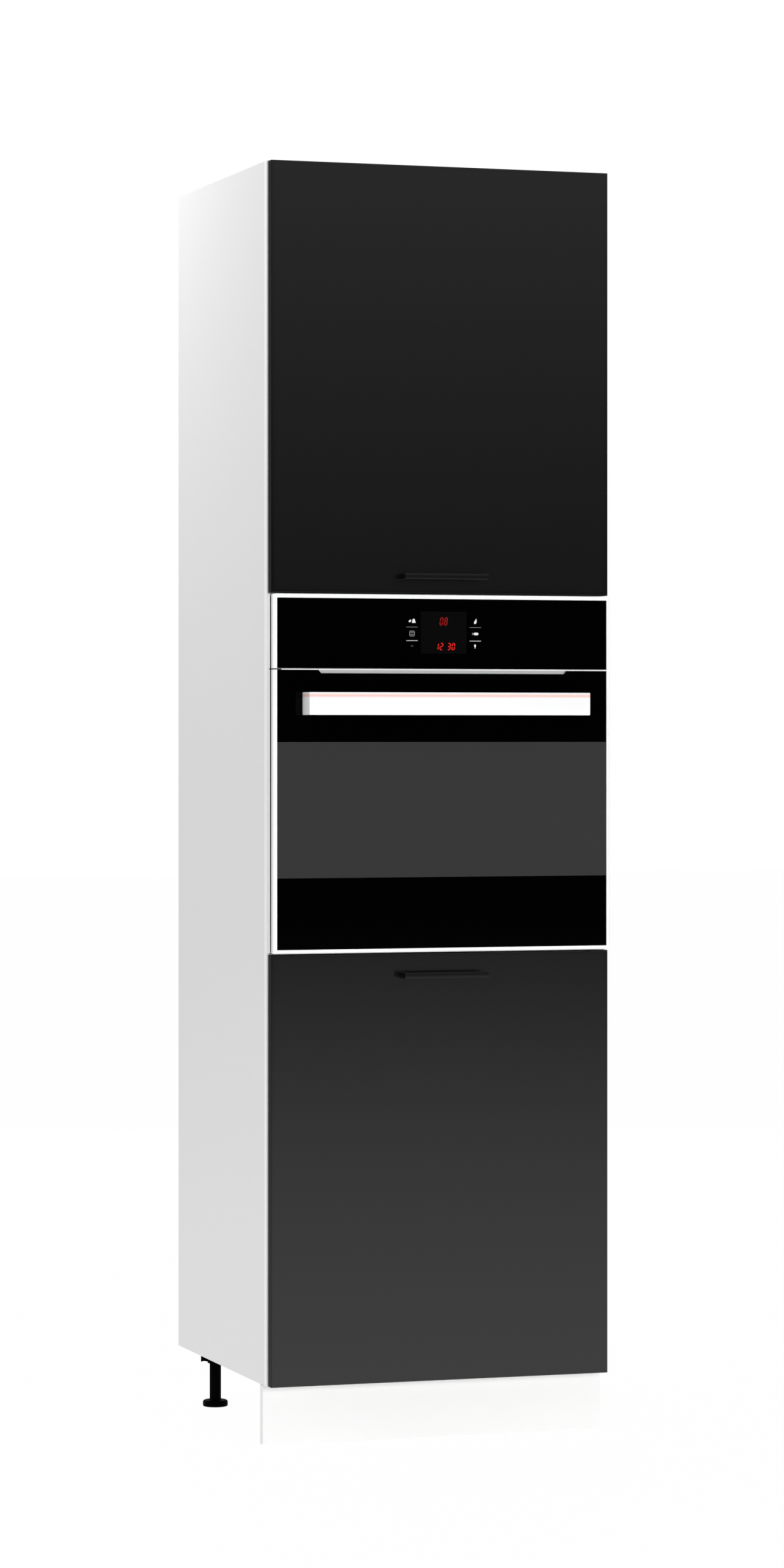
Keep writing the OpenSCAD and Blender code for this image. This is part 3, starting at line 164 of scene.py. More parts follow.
# scale is the grain's, in cells per metre, relief its height in millimetres, and stretch draws it
# out; spread and tint are the play in roughness and in tone; shine is the specular level, clear
# the share of light let through, and glow the light given off
looks = {
    "white_board": {"label": "white board", "colour": (0.88, 0.88, 0.875), "rough": 0.42,
                    "scale": 900, "relief": 0.06, "spread": 0.06, "tint": 0.01},
    # painted shade: the cabinet's sides are the white board given a darker colour, standing in for
    # the shade on faces turned from the front light
    "side_board": {"label": "side board", "colour": (0.79, 0.795, 0.79), "rough": 0.42,
                   "scale": 900, "relief": 0.06, "spread": 0.06},
    "white_hardboard": {"label": "white hardboard", "colour": (0.82, 0.82, 0.81), "rough": 0.5,
                        "scale": 300, "relief": 0.1, "spread": 0.08, "tint": 0.02},
    "anthracite_front": {"label": "anthracite lacquer", "colour": (0.0036, 0.0036, 0.0037),
                         "rough": 0.15, "scale": 700, "relief": 0.03, "spread": 0.03,
                         "tint": 0.03},
    "edge_band": {"label": "door edge band", "colour": (0.009, 0.009, 0.0095), "rough": 0.6,
                  "shine": 0.08, "scale": 900, "relief": 0.06, "spread": 0.06},
    "black_metal": {"label": "black satin coat", "colour": (0.0022, 0.0022, 0.0022),
                    "rough": 0.22, "shine": 0.28, "scale": 1500, "relief": 0.04, "spread": 0.04},
    "black_plastic": {"label": "black plastic", "colour": (0.001, 0.001, 0.001), "rough": 0.5,
                      "shine": 0.015, "scale": 800, "relief": 0.08, "spread": 0.06},
    "cover_plastic": {"label": "grained black plastic", "colour": (0.012, 0.012, 0.012),
                      "rough": 0.42, "scale": 700, "relief": 0.12, "spread": 0.06},
    "nickel": {"label": "nickel plate", "colour": (0.62, 0.6, 0.57), "rough": 0.22, "metal": 1,
               "scale": 600, "relief": 0.03, "spread": 0.06},
    "zinc": {"label": "zinc plate", "colour": (0.56, 0.57, 0.58), "rough": 0.34, "metal": 1,
             "scale": 300, "relief": 0.04, "spread": 0.08, "tint": 0.06},
    "galvanised_sheet": {"label": "galvanised sheet", "colour": (0.52, 0.53, 0.54),
                         "rough": 0.38, "metal": 1, "scale": 90, "relief": 0.04, "spread": 0.1,
                         "tint": 0.1},
    "trim": {"label": "satin trim", "colour": (0.5, 0.51, 0.52), "rough": 0.36, "metal": 0.35,
             "scale": 300, "relief": 0.04, "stretch": (0.05, 1, 1), "spread": 0.06},
    # painted light in part: a lighter copy of the satin trim, for the line in the gap over the oven
    # door
    "painted_light_trim_line": {"label": "trim line", "colour": (0.84, 0.82, 0.82), "rough": 0.3,
                  "scale": 300, "relief": 0.03, "stretch": (0.05, 1, 1), "spread": 0.04},
    "mineral_wool": {"label": "mineral wool", "colour": (0.52, 0.46, 0.28), "rough": 0.95,
                     "shine": 0.1, "scale": 260, "relief": 1.2, "tint": 0.12, "detail": 8},
    "grey_enamel": {"label": "grey enamel", "colour": (0.02, 0.022, 0.03), "rough": 0.14,
                    "scale": 500, "relief": 0.05, "tint": 0.1},
    "bright_steel": {"label": "chrome wire", "colour": (0.7, 0.7, 0.7), "rough": 0.12,
                     "metal": 1, "scale": 200, "relief": 0.03, "spread": 0.04},
    "seal_rubber": {"label": "seal rubber", "colour": (0.015, 0.015, 0.015), "rough": 0.7,
                    "scale": 1200, "relief": 0.2, "spread": 0.08},
    "clear_rubber": {"label": "clear rubber", "colour": (0.7, 0.7, 0.68), "rough": 0.35,
                     "scale": 500, "relief": 0.05},
    "white_shell": {"label": "white gloss shell", "colour": (0.84, 0.84, 0.85), "rough": 0.16,
                    "scale": 900, "relief": 0.02, "spread": 0.02},
    "white_aluminium": {"label": "white handle coat", "colour": (0.84, 0.84, 0.85),
                        "rough": 0.12, "scale": 900, "relief": 0.02, "spread": 0.02},
    "display_module": {"label": "display module", "colour": (0.01, 0.01, 0.01), "rough": 0.6,
                       "scale": 600, "relief": 0.1, "spread": 0.06},
    "lamp_glass": {"label": "lamp glass", "colour": (0.9, 0.9, 0.86), "rough": 0.06,
                   "clear": 0.9},
    "tinted_glass": {"label": "tinted glass", "colour": (0.16, 0.18, 0.18), "rough": 0.05,
                     "clear": 0.9},
    "black_glass": {"label": "black glass", "colour": (0.0004, 0.0004, 0.0004), "rough": 0.05,
                    "shine": 0.06},
    "display_window": {"label": "display window", "colour": (0.0022, 0.0022, 0.0022),
                       "rough": 0.12, "shine": 0.1},
    "lit_red": {"label": "lit red", "colour": (0.1, 0.002, 0.002), "rough": 0.3, "shine": 0.1,
                "glow": (0.6, 0.012, 0.006)},
    "dim_red": {"label": "dim red", "colour": (0.1, 0.002, 0.002), "rough": 0.3, "shine": 0.1,
                "glow": (0.16, 0.003, 0.004)},
    "white_ink": {"label": "white ink", "colour": (0.72, 0.72, 0.6984), "rough": 0.5,
                  "scale": 2500, "relief": 0.02, "tint": 0.05},
    "grey_ink": {"label": "grey ink", "colour": (0.16, 0.16, 0.1552), "rough": 0.5,
                 "scale": 2500, "relief": 0.02, "tint": 0.05},
    "faint_ink": {"label": "faint ink", "colour": (0.02, 0.02, 0.0194), "rough": 0.5,
                  "scale": 2500, "relief": 0.02, "tint": 0.05},
}
slowTone = {"Scale": 6, "Detail": 3}  # the noise that the tint follows


def addGrain(material, look):
    # fine relief from noise in the piece's own coordinates; the same noise plays with the gloss
    tree, shader = material.node_tree, shaderOf(material)
    place = addNode(tree, "ShaderNodeTexCoord").outputs["Object"]
    stretched = addNode(tree, "ShaderNodeMapping",
                        {0: place, "Scale": look.get("stretch", (1, 1, 1))})
    noise = addNode(tree, "ShaderNodeTexNoise",
                    {0: stretched.outputs[0], "Scale": look["scale"],
                     "Detail": look.get("detail", 4)}).outputs[0]
    bump = addNode(tree, "ShaderNodeBump",
                   {"Height": noise, "Strength": 1.0, "Distance": look["relief"] * mm})
    tree.links.new(bump.outputs[0], shader.inputs["Normal"])
    if "spread" in look:
        rough = addNode(tree, "ShaderNodeMapRange", {0: noise, 3: look["rough"] - look["spread"],
                                                     4: look["rough"] + look["spread"]})
        tree.links.new(rough.outputs[0], shader.inputs["Roughness"])
    if "tint" in look:
        slow = addNode(tree, "ShaderNodeTexNoise", {0: place, **slowTone}).outputs[0]
        dark = [c * (1 - look["tint"]) for c in look["colour"]] + [1]
        pale = [min(1, c * (1 + look["tint"])) for c in look["colour"]] + [1]
        tree.links.new(addMix(tree, slow, dark, pale), shader.inputs["Base Color"])


def makeFinish(look):
    material = bpy.data.materials.new(look["label"])
    material.use_nodes = True
    inputs = shaderOf(material).inputs
    inputs["Base Color"].default_value = (*look["colour"], 1)
    inputs["Roughness"].default_value = look["rough"]
    inputs["Metallic"].default_value = look.get("metal", 0)
    inputs["Specular IOR Level"].default_value = look.get("shine", 0.5)
    inputs["Transmission Weight"].default_value = look.get("clear", 0)
    if "glow" in look:
        inputs["Emission Color"].default_value = (*look["glow"], 1)
        inputs["Emission Strength"].default_value = 1.0
    if "scale" in look:
        addGrain(material, look)
    return material


finishes = {name: makeFinish(look) for name, look in looks.items()}
print("stage:", len(finishes), "finishes made")


def recolour(material, change):
    # change: from the tree and the colour so far to the new colour
    tree, socket = material.node_tree, shaderOf(material).inputs["Base Color"]
    before = socket.links[0].from_socket if socket.is_linked else socket.default_value[:]
    tree.links.new(change(tree, before), socket)


# the oven window: a grey printed band across the door glass, in from its lower and upper edges
ovenWindow = {"fromFoot": 118.7, "fromHead": 120.0, "grey": 0.034}


def printWindow(tree, before):
    foot = low("oven_door_glass", axisZ) + ovenWindow["fromFoot"] * mm
    head = high("oven_door_glass", axisZ) - ovenWindow["fromHead"] * mm
    inside = addMath(tree, "COMPARE", placeAlong(tree, axisZ), (foot + head) / 2,
                     (head - foot) / 2)
    return addMix(tree, inside, before, (ovenWindow["grey"],) * 3 + (1,))


recolour(finishes["black_glass"], printWindow)


# bands of another colour, most of them painted light and shade: half their width and their soft
# border, and how far they stand in from the edge that they follow, in millimetres
bands = {
    # painted highlight: a lighter strip down the front of each cabinet side
    "sideFrontHighlight": {"colour": (0.93, 0.93, 0.925), "half": 14.0, "soft": 3.0},
    # painted highlight: the side face of the oven's white shell is made lighter over this strip
    "shellSideHighlight": {"colour": (0.97, 0.97, 0.97), "in": 15.5, "half": 14.5, "soft": 0.5},
    # painted shade: a dark shadow line down the middle of the white shell's side face
    "shellShadowLine": {"colour": (0.02, 0.02, 0.025), "in": 16.5, "half": 3.8, "soft": 0.6},
    "flangeEdge": {"colour": (0.9, 0.9, 0.9), "half": 0.6, "soft": 0.2},
    # painted reflection: a pale pink line just under the oven handle's top edge
    "handleReflectionLine": {"colour": (0.82, 0.53, 0.48), "in": 5.5, "half": 2.2, "soft": 2.0},
}


def paintBand(finishName, bandName, axis, edge, inwards=1):
    # the band's colour where |place - centre| is under half its width; a band across X is on
    # both sides of the middle, so there the place is |X|; inwards: the sign of the way in
    band = bands[bandName]
    centre = edge + inwards * band.get("in", 0) * mm
    half, soft = band["half"] * mm, band["soft"] * mm

    def change(tree, before):
        value = placeAlong(tree, axis)
        if axis == axisX:
            value = addMath(tree, "ABSOLUTE", value)
        away = distanceFrom(tree, value, centre)
        share = addNode(tree, "ShaderNodeMapRange", {0: away, 1: half - soft, 2: half + soft,
                                                     3: 1.0, 4: 0.0}).outputs[0]
        return addMix(tree, share, before, (*band["colour"], 1))

    recolour(finishes[finishName], change)


paintBand("side_board", "sideFrontHighlight", axisY, low("side_left", axisY))
paintBand("white_shell", "shellSideHighlight", axisY, low("panel_frame", axisY))
paintBand("white_shell", "shellShadowLine", axisY, low("panel_frame", axisY))
paintBand("grey_enamel", "flangeEdge", axisX, high("oven_front_flange", axisX))
paintBand("white_aluminium", "handleReflectionLine", axisZ, high("oven_handle", axisZ), inwards=-1)


# painted shade: the lacquer's colour darkens over the last millimetres before a door's edge,
# standing in for the shade on the doors' rounded edges
paintedEdgeShade = {"reach": 8.0, "shade": 0.1}


def paintEdgeShade(tree, before):
    # how far in from a door's edge: the smaller of half width - |x - middle| and
    # half height - |z - middle|, and of the two doors the larger
    insets = []
    for door in ("upper_door", "lower_door"):
        sides = [addMath(tree, "SUBTRACT", span(door, axis) / 2,
                         distanceFrom(tree, placeAlong(tree, axis), middle(door, axis)))
                 for axis in (axisX, axisZ)]
        insets.append(addMath(tree, "MINIMUM", *sides))
    share = addNode(tree, "ShaderNodeMapRange",
                    {0: addMath(tree, "MAXIMUM", *insets), 1: 0.0, 2: paintedEdgeShade["reach"] * mm,
                     3: paintedEdgeShade["shade"], 4: 1.0}, interpolation_type="SMOOTHSTEP").outputs[0]
    return addMix(tree, 1.0, before, share, blend_type="MULTIPLY")


recolour(finishes["anthracite_front"], paintEdgeShade)

# each node takes its slot's finish, a few their own
ownFinish = {"oven_door_trim": "trim", "side_left": "side_board", "side_right": "side_board",
             "oven_front_flange": "grey_enamel", "terminal_cover": "cover_plastic"}
for part in frame["record"]["subparts"]:
    mesh = nodes[part["node"]].data
    mesh.materials.clear()
    mesh.materials.append(finishes[ownFinish.get(part["node"], part["material_slot"])])


def roundedOutline(width, height, radius, steps=6):
    # four quarter circles, centre + radius * (cos a, sin a), counter-clockwise
    a = np.linspace(0, math.pi / 2, steps)
    sx, sy = width / 2 - radius, height / 2 - radius
    centres = [(sx, sy), (-sx, sy), (-sx, -sy), (sx, -sy)]
    corners = [np.stack([cx + radius * np.cos(a + k * math.pi / 2),
                         cy + radius * np.sin(a + k * math.pi / 2)], -1)
               for k, (cx, cy) in enumerate(centres)]
    return np.concatenate(corners)


def frontPlate(outline, x, z, back, front, edge):
    # an outline in X and Z, raised from back to front along -Y, its front rim drawn in by edge,
    # at the most down to a share of its width
    leastShare = 0.3
    outline = np.asarray(outline, float)
    centre = outline.mean(0)
    reach = np.linalg.norm(outline - centre, axis=1, keepdims=True)
    inner = centre + (outline - centre) * np.maximum(leastShare, 1 - edge / reach)
    rings = [(outline, back), (outline, front + edge), (inner, front)]
    points = [np.stack([ring[:, 0] + x, np.full(len(ring), y), ring[:, 1] + z], -1)
              for ring, y in rings]
    return np.concatenate(points), closedTube(len(rings), len(outline))


# display: a slightly lighter window in the panel glass, with two pairs of lit figures
display = {"width": 81.0, "height": 70.5, "corner": 1.5, "sunk": 0.1, "stand": 0.06,
           "edge": 0.05}
figures = {"hour": "12", "minute": "30", "clockAcross": (-11.8, -4.0, 9.4, 17.0),
           "clockUp": -23.3, "clockTall": 12.5, "stage": "08", "stageAcross": (-3.9, 3.9),
           "stageUp": 18.8, "stageTall": 14.0, "width": 6.2, "stroke": 1.9, "slant": 0.12,
           "gap": 0.12, "stand": 0.14, "edge": 0.05}
panelFront = low("panel_glass", axisY)
displayX = middle("display_unit", axisX)
displayZ = middle("display_unit", axisZ)
windowOutline = roundedOutline(display["width"] * mm, display["height"] * mm,
                               display["corner"] * mm)
window = frontPlate(windowOutline, displayX, displayZ, panelFront + display["sunk"] * mm,
                    panelFront - display["stand"] * mm, display["edge"] * mm)
addPiece("display_window", window, finishes["display_window"], "cabinet")

# the seven bars of a figure: (across, up) of both ends in half widths and half heights
bars = {"a": (-1, 1, 1, 1), "b": (1, 1, 1, 0), "c": (1, 0, 1, -1), "d": (-1, -1, 1, -1),
        "e": (-1, -1, -1, 0), "f": (-1, 0, -1, 1), "g": (-1, 0, 1, 0)}
lit = {"0": "abcdef", "1": "bc", "2": "abged", "3": "abgcd", "8": "abcdefg"}


def barOutline(ends, width, height, stroke, slant):
    # a long hexagon between two ends, then leaned over by slant * height
    ends = np.array(ends, float).reshape(2, 2)
    ends = ends * (width / 2 - stroke / 2, height / 2 - stroke / 2)
    along = (ends[1] - ends[0]) / np.linalg.norm(ends[1] - ends[0])
    sideways = np.array([-along[1], along[0]]) * stroke / 2
    gap, nib = along * stroke * figures["gap"], along * stroke / 2
    first, second = ends[0] + gap, ends[1] - gap
    outline = np.array([first, first + nib - sideways, second - nib - sideways, second,
                        second - nib + sideways, first + nib + sideways])
    outline[:, 0] += slant * outline[:, 1]
    return outline


def litFigures(name, text, placesX, z, height, finishName):
    shapes = []
    for figure, x in zip(text, placesX):
        for bar in lit[figure]:
            outline = barOutline(bars[bar], figures["width"] * mm, height * mm,
                                 figures["stroke"] * mm, figures["slant"])
            shapes.append(frontPlate(outline, displayX + x * mm, displayZ + z * mm, panelFront,
                                     panelFront - figures["stand"] * mm, figures["edge"] * mm))
    addPiece(name, joinShapes(shapes), finishes[finishName], "cabinet")


litFigures("display_clock", figures["hour"] + figures["minute"], figures["clockAcross"],
           figures["clockUp"], figures["clockTall"], "lit_red")
litFigures("display_stage", figures["stage"], figures["stageAcross"], figures["stageUp"],
           figures["stageTall"], "dim_red")


def ellipseOutline(width, height, turn=0.0, steps=24):
    # (w/2 cos a, h/2 sin a), then turned
    a = np.linspace(0, 2 * math.pi, steps, endpoint=False)
    x, z = width / 2 * np.cos(a), height / 2 * np.sin(a)
    return np.stack([x * math.cos(turn) - z * math.sin(turn),
                     x * math.sin(turn) + z * math.cos(turn)], -1)


def dropOutline(width, height, slant, steps=28):
    # a drop: x = w/2 sin a sin(a/2)^1.5, z = h/2 cos a, each point moved sideways by slant * z
    a = np.linspace(0, 2 * math.pi, steps, endpoint=False)
    x, z = width / 2 * np.sin(a) * np.abs(np.sin(a / 2)) ** 1.5, height / 2 * np.cos(a)
    return np.stack([x + slant * z, z], -1)


def bellOutline(width, height, steps=20):
    # a half round top on a foot that flares out; the four shares are of the width and height
    domeWide, domeUp, domeTall, footTop = 0.36, 0.05, 0.45, 0.34
    a = np.linspace(0, math.pi, steps)
    top = np.stack([width * domeWide * np.cos(a), height * (domeUp + domeTall * np.sin(a))], -1)
    foot = np.array([(-width / 2, -height * footTop), (-width / 2, -height / 2),
                     (width / 2, -height / 2), (width / 2, -height * footTop)])
    return np.concatenate([top, foot])


# printed keys in two columns beside the display, parted by short rules, in millimetres from the
# display's middle
keys = {"column": 56.0, "rows": (19.6, -1.8, -22.6), "rules": (9.1, -13.7), "ink": 0.08,
        "sunk": 0.05, "edge": 0.03}
symbols = {
    "bell": {"size": (6.4, 7.2), "off": (3.0, 0)},
    "clapper": {"size": (5.4, 3.4, 0.7), "off": (-3.6, -0.4)},
    "drop": {"size": (6.4, 9.6, 0.28), "off": (0.6, 0)},
    "pill": {"size": (8.4, 4.4, 2.1), "off": (1.4, 0)},
    "pillMark": {"size": (2.6, 4.0, 0.8), "off": (-4.4, 0)},
    "bulb": {"size": (3.4, 5.2), "off": (-0.4, 0.8)},
    "bulbFoot": {"size": (2.2, 1.1, 0.4), "off": (-0.4, -2.8)},
    "dot": {"size": (5.2, 2.8), "off": (0, 0)},
    "rule": {"size": (20.5, 1.0, 0.6), "off": (0, 0)},
    "upperLine": {"size": (5.0, 1.2, 0.5), "off": (0, 1.6)},
    "lowerLine": {"size": (5.0, 1.2, 0.5), "off": (0, -1.6)},
    "card": {"size": (9.6, 9.6), "wall": 1.5, "corner": 0.6},
}


def mark(outline, x, z):
    return frontPlate(np.asarray(outline, float) * mm, displayX + x * mm, displayZ + z * mm,
                      panelFront + keys["sunk"] * mm, panelFront - keys["ink"] * mm,
                      keys["edge"] * mm)


def symbol(name, outlineOf, x, z):
    offX, offZ = symbols[name]["off"]
    return mark(outlineOf(*symbols[name]["size"]), x + offX, z + offZ)


def cardFrame(x, z):
    # four bars of a square frame
    (width, height), wall = symbols["card"]["size"], symbols["card"]["wall"]
    w, h = width / 2 - wall / 2, height / 2 - wall / 2
    level = roundedOutline(width, wall, symbols["card"]["corner"])
    upright = roundedOutline(wall, height, symbols["card"]["corner"])
    return [mark(level, x, z + h), mark(level, x, z - h), mark(upright, x - w, z),
            mark(upright, x + w, z)]


leftX, rightX = -keys["column"], keys["column"]
topRow, midRow, lowRow = keys["rows"]
upperRule, lowerRule = keys["rules"]
inks = {
    "key_marks": ("white_ink", [
        symbol("bell", bellOutline, leftX, topRow),
        symbol("clapper", ellipseOutline, leftX, topRow),
        symbol("drop", dropOutline, rightX, topRow),
        symbol("pill", roundedOutline, rightX, midRow),
        symbol("bulb", ellipseOutline, rightX, lowRow),
        symbol("bulbFoot", roundedOutline, rightX, lowRow),
        symbol("rule", roundedOutline, leftX, lowerRule),
        symbol("rule", roundedOutline, rightX, lowerRule)]),
    "key_marks_grey": ("grey_ink", cardFrame(leftX, midRow) + [
        symbol("upperLine", roundedOutline, leftX, midRow),
        symbol("lowerLine", roundedOutline, leftX, midRow),
        symbol("pillMark", roundedOutline, rightX, midRow),
        symbol("rule", roundedOutline, leftX, upperRule),
        symbol("rule", roundedOutline, rightX, upperRule)]),
    "key_mark_faint": ("faint_ink", [symbol("dot", ellipseOutline, leftX, lowRow)]),
}
for name, (ink, marks) in inks.items():
    addPiece(name, joinShapes(marks), finishes[ink], "cabinet")
print("stage: display and keys")


# bar handles: a flat U carried upwards, with rounded rims
doorHandle = {"thick": 10.0, "corner": 1.6, "inner": 1.0, "edge": 1.0, "finish": "black_metal"}
ovenHandle = {"thick": 10.0, "corner": 1.6, "inner": 1.2, "edge": 1.4,
              "finish": "white_aluminium"}


def bridgeRing(length, reach, thick, outer, inner, inset, steps=7):
    # a U seen from above, its walls drawn in by inset: straight runs and quarter circles, the
    # outer ones never less than a share of their radius
    leastShare = 0.2
    def corner(cx, cy, radius, start, turn):
        a = start + turn * np.linspace(0, math.pi / 2, steps)
        return np.stack([cx + radius * np.cos(a), cy + radius * np.sin(a)], -1)

    half, front = length / 2 - inset, -reach + inset
    innerHalf, innerFront = length / 2 - thick + inset, -reach + thick - inset
    big, small = max(outer - inset, outer * leastShare), inner + inset
    return np.concatenate([
        [(-half, 0)], corner(-half + big, front + big, big, math.pi, 1),
        corner(half - big, front + big, big, 1.5 * math.pi, 1), [(half, 0), (innerHalf, 0)],
        corner(innerHalf - small, innerFront + small, small, 0, -1),
        corner(-innerHalf + small, innerFront + small, small, 1.5 * math.pi, -1),
        [(-innerHalf, 0)]])


def barHandle(node, name, size, body, rims=5):
    # the U carried up along Z, its rims rounded: inset edge*(1 - sin a), lift edge*(1 - cos a)
    a = np.linspace(0, math.pi / 2, rims)
    edge = size["edge"] * mm
    inset, lift = edge * (1 - np.sin(a)), edge * (1 - np.cos(a))
    half = span(node, axisZ) / 2
    levels = np.concatenate([lift - half, (half - lift)[::-1]]) + middle(node, axisZ)
    rings = [bridgeRing(span(node, axisX), span(node, axisY), size["thick"] * mm,
                        size["corner"] * mm, size["inner"] * mm, drawn)
             for drawn in np.concatenate([inset, inset[::-1]])]
    points = [np.column_stack([ring[:, 0], ring[:, 1] + high(node, axisY),
                               np.full(len(ring), level)]) for ring, level in zip(rings, levels)]
    shape = np.concatenate(points), closedTube(len(rings), len(rings[0]))
    addPiece(name, shape, finishes[size["finish"]], body, stands=(node,))


for side in ("upper", "lower"):
    barHandle(side + "_handle", side + "_bar_handle", doorHandle, side + "_door")
barHandle("oven_handle", "oven_bar_handle", ovenHandle, "oven_door")
print("stage: handles")


# edge bands: a thin matt strip around the four narrow sides of each door
edgeBand = {"stand": 0.12, "inset": 0.9, "corner": 0.6}


def ringBand(node):
    # a rounded rectangle in x and z, swept through a flat profile (y, distance outwards)
    back = high(node, axisY) - edgeBand["inset"] * mm
    front = low(node, axisY) + edgeBand["inset"] * mm
    out = edgeBand["stand"] * mm
    profile = ((front, -out), (front + out, out), (back - out, out), (back, -out))
    rings = []
    for y, grow in profile:
        outline = roundedOutline(span(node, axisX) + 2 * grow, span(node, axisZ) + 2 * grow,
                                 edgeBand["corner"] * mm)
        rings.append(np.stack([outline[:, 0] + middle(node, axisX), np.full(len(outline), y),
                               outline[:, 1] + middle(node, axisZ)], -1))
    return np.concatenate(rings), gridFaces(len(rings), len(rings[0]), closeColumns=True)


for side in ("upper", "lower"):
    addPiece(side + "_door_edge_band", ringBand(side + "_door"), finishes["edge_band"],
             side + "_door")

# a bright line along the top of the oven door, in the gap under the panel: a trim profile whose
# pale colour, lighter than the trim's, is partly painted light; leftIn and rightIn are its
# distances from the door frame's sides
trimLine = {"height": 1.7, "depth": 3.2, "edge": 0.3, "leftIn": 14.0, "rightIn": 1.5,
            "up": 0.15, "back": 0.2}
lineLeft = low("oven_door_frame", axisX) + trimLine["leftIn"] * mm
lineRight = high("oven_door_frame", axisX) - trimLine["rightIn"] * mm
lineZ = high("oven_door_glass", axisZ) + (trimLine["up"] + trimLine["height"] / 2) * mm
lineFront = low("oven_door_glass", axisY) + trimLine["back"] * mm
lineOutline = roundedOutline(lineRight - lineLeft, trimLine["height"] * mm,
                             trimLine["edge"] * mm)
line = frontPlate(lineOutline, (lineLeft + lineRight) / 2, lineZ,
                  lineFront + trimLine["depth"] * mm, lineFront, trimLine["edge"] * mm)
addPiece("oven_door_trim_line", line, finishes["painted_light_trim_line"], "oven_door")
print("stage: edge bands and trim line")


# screw heads: a dome with a cross pressed into it; the cross and the flat middle are in shares of
# the radius, the dome and the cross's depth in shares of the height
screwHead = {"crossWidth": 0.17, "crossReach": 0.62, "crossDepth": 0.5, "wallSlope": 1.6,
             "endSlope": 8, "middle": 0.02, "dome": 0.45, "height": 0.8}


def screwShape(centre, axis, diameter, rings=11, steps=36):
    # height over the polar grid: 1 - dome*(r/R)^2, less a cross where |x| or |y| is small
    axis = Vector(axis).normalized()
    side = axis.orthogonal().normalized()
    u, v, w = (np.array(d) for d in (side, axis.cross(side), axis))
    r = np.linspace(screwHead["middle"], 1.0, rings)[:, None]
    a = np.linspace(0, 2 * math.pi, steps, endpoint=False)[None] + math.pi / 4
    x, y = r * np.cos(a), r * np.sin(a)
    arms = np.minimum(np.abs(x), np.abs(y)) / screwHead["crossWidth"]
    walls = np.clip(screwHead["wallSlope"] * (1 - arms), 0, 1)
    sunk = walls * np.clip((screwHead["crossReach"] - r) * screwHead["endSlope"], 0, 1)
    lift = 1 - screwHead["dome"] * r ** 2 - screwHead["crossDepth"] * sunk
    radius = diameter / 2
    top = (x[..., None] * u + y[..., None] * v) * radius + lift[..., None] * screwHead["height"] * w
    foot = (np.cos(a[0])[:, None] * u + np.sin(a[0])[:, None] * v) * radius
    points = (np.concatenate([top.reshape(-1, 3), foot]) + np.array(centre) / mm) * mm
    return points, closedTube(rings + 1, steps)


def addScrews(name, places, axis, diameter, finishName, body):
    # places in metres, diameter in millimetres
    heads = [screwShape(place, axis, diameter) for place in places]
    addPiece(name, joinShapes(heads), finishes[finishName], body)


def pairAcross(x, y, levels):
    # both sides of the middle, at each level
    return [(s * x, y, z) for s in (-1, 1) for z in levels]


towardsFront, towardsBack, towardsLeft = (0, -1, 0), (0, 1, 0), (-1, 0, 0)

# hinge screws: wing is how far the cups reach beyond a hinge's middle, plateUp and cupUp how far
# the two screws stand from it
hingeScrews = {"wing": 28.0, "plateTall": 4.5, "plateBack": 14.0, "plateUp": 16.0,
               "plateAcross": 8.8, "cupIn": 28.0, "cupUp": 22.5, "cupAcross": 6.8}
hingeLevels = {side: (low(side + "_cups", axisZ) + hingeScrews["wing"] * mm,
                      high(side + "_cups", axisZ) - hingeScrews["wing"] * mm)
               for side in ("lower", "upper")}
plateX = low("side_right", axisX) - hingeScrews["plateTall"] * mm
plateY = low("hinge_plates", axisY) + hingeScrews["plateBack"] * mm
plateUp, cupUp = hingeScrews["plateUp"] * mm, hingeScrews["cupUp"] * mm
addScrews("plate_screw_heads",
          [(plateX, plateY, z + s * plateUp) for z in hingeLevels["lower"] + hingeLevels["upper"]
           for s in (-1, 1)], towardsLeft, hingeScrews["plateAcross"], "nickel", "cabinet")

handleScrews = {"in": 4.0, "across": 7.8}
for side in ("upper", "lower"):
    cupX = high(side + "_cups", axisX) - hingeScrews["cupIn"] * mm
    addScrews(side + "_cup_screw_heads",
              [(cupX, high(side + "_cups", axisY), z + s * cupUp) for z in hingeLevels[side]
               for s in (-1, 1)], towardsBack, hingeScrews["cupAcross"], "nickel", side + "_door")
    node = side + "_handle_screws"
    handleX = high(node, axisX) - handleScrews["in"] * mm
    addScrews(side + "_handle_screw_heads",
              pairAcross(handleX, high(node, axisY), [middle(node, axisZ)]), towardsBack,
              handleScrews["across"], "zinc", side + "_door")

# screws in the four corners of a node: in is their distance from its sides
cornerScrews = {
    "flange_screw_heads": {"node": "oven_screws", "in": 3.8, "across": 7.4},
    "fan_cover_screw_heads": {"node": "fan_cover", "in": 14.0, "across": 6.5},
}
for name, screws in cornerScrews.items():
    node, inset = screws["node"], screws["in"] * mm
    levels = (low(node, axisZ) + inset, high(node, axisZ) - inset)
    addScrews(name, pairAcross(high(node, axisX) - inset, low(node, axisY), levels),
              towardsFront, screws["across"], "zinc", "cabinet")

# three screws up each side of the casing's rear, in front of its hump
casingScrews = {"in": 12.0, "hump": 6.0, "fromFoot": 30.0, "fromHead": 100.0, "across": 7.8}
levels = (low("oven_housing", axisZ) + casingScrews["fromFoot"] * mm,
          middle("oven_housing", axisZ),
          high("oven_housing", axisZ) - casingScrews["fromHead"] * mm)
addScrews("casing_screw_heads",
          pairAcross(high("oven_housing", axisX) - casingScrews["in"] * mm,
                     high("oven_housing", axisY) - casingScrews["hump"] * mm, levels),
          towardsBack, casingScrews["across"], "zinc", "cabinet")

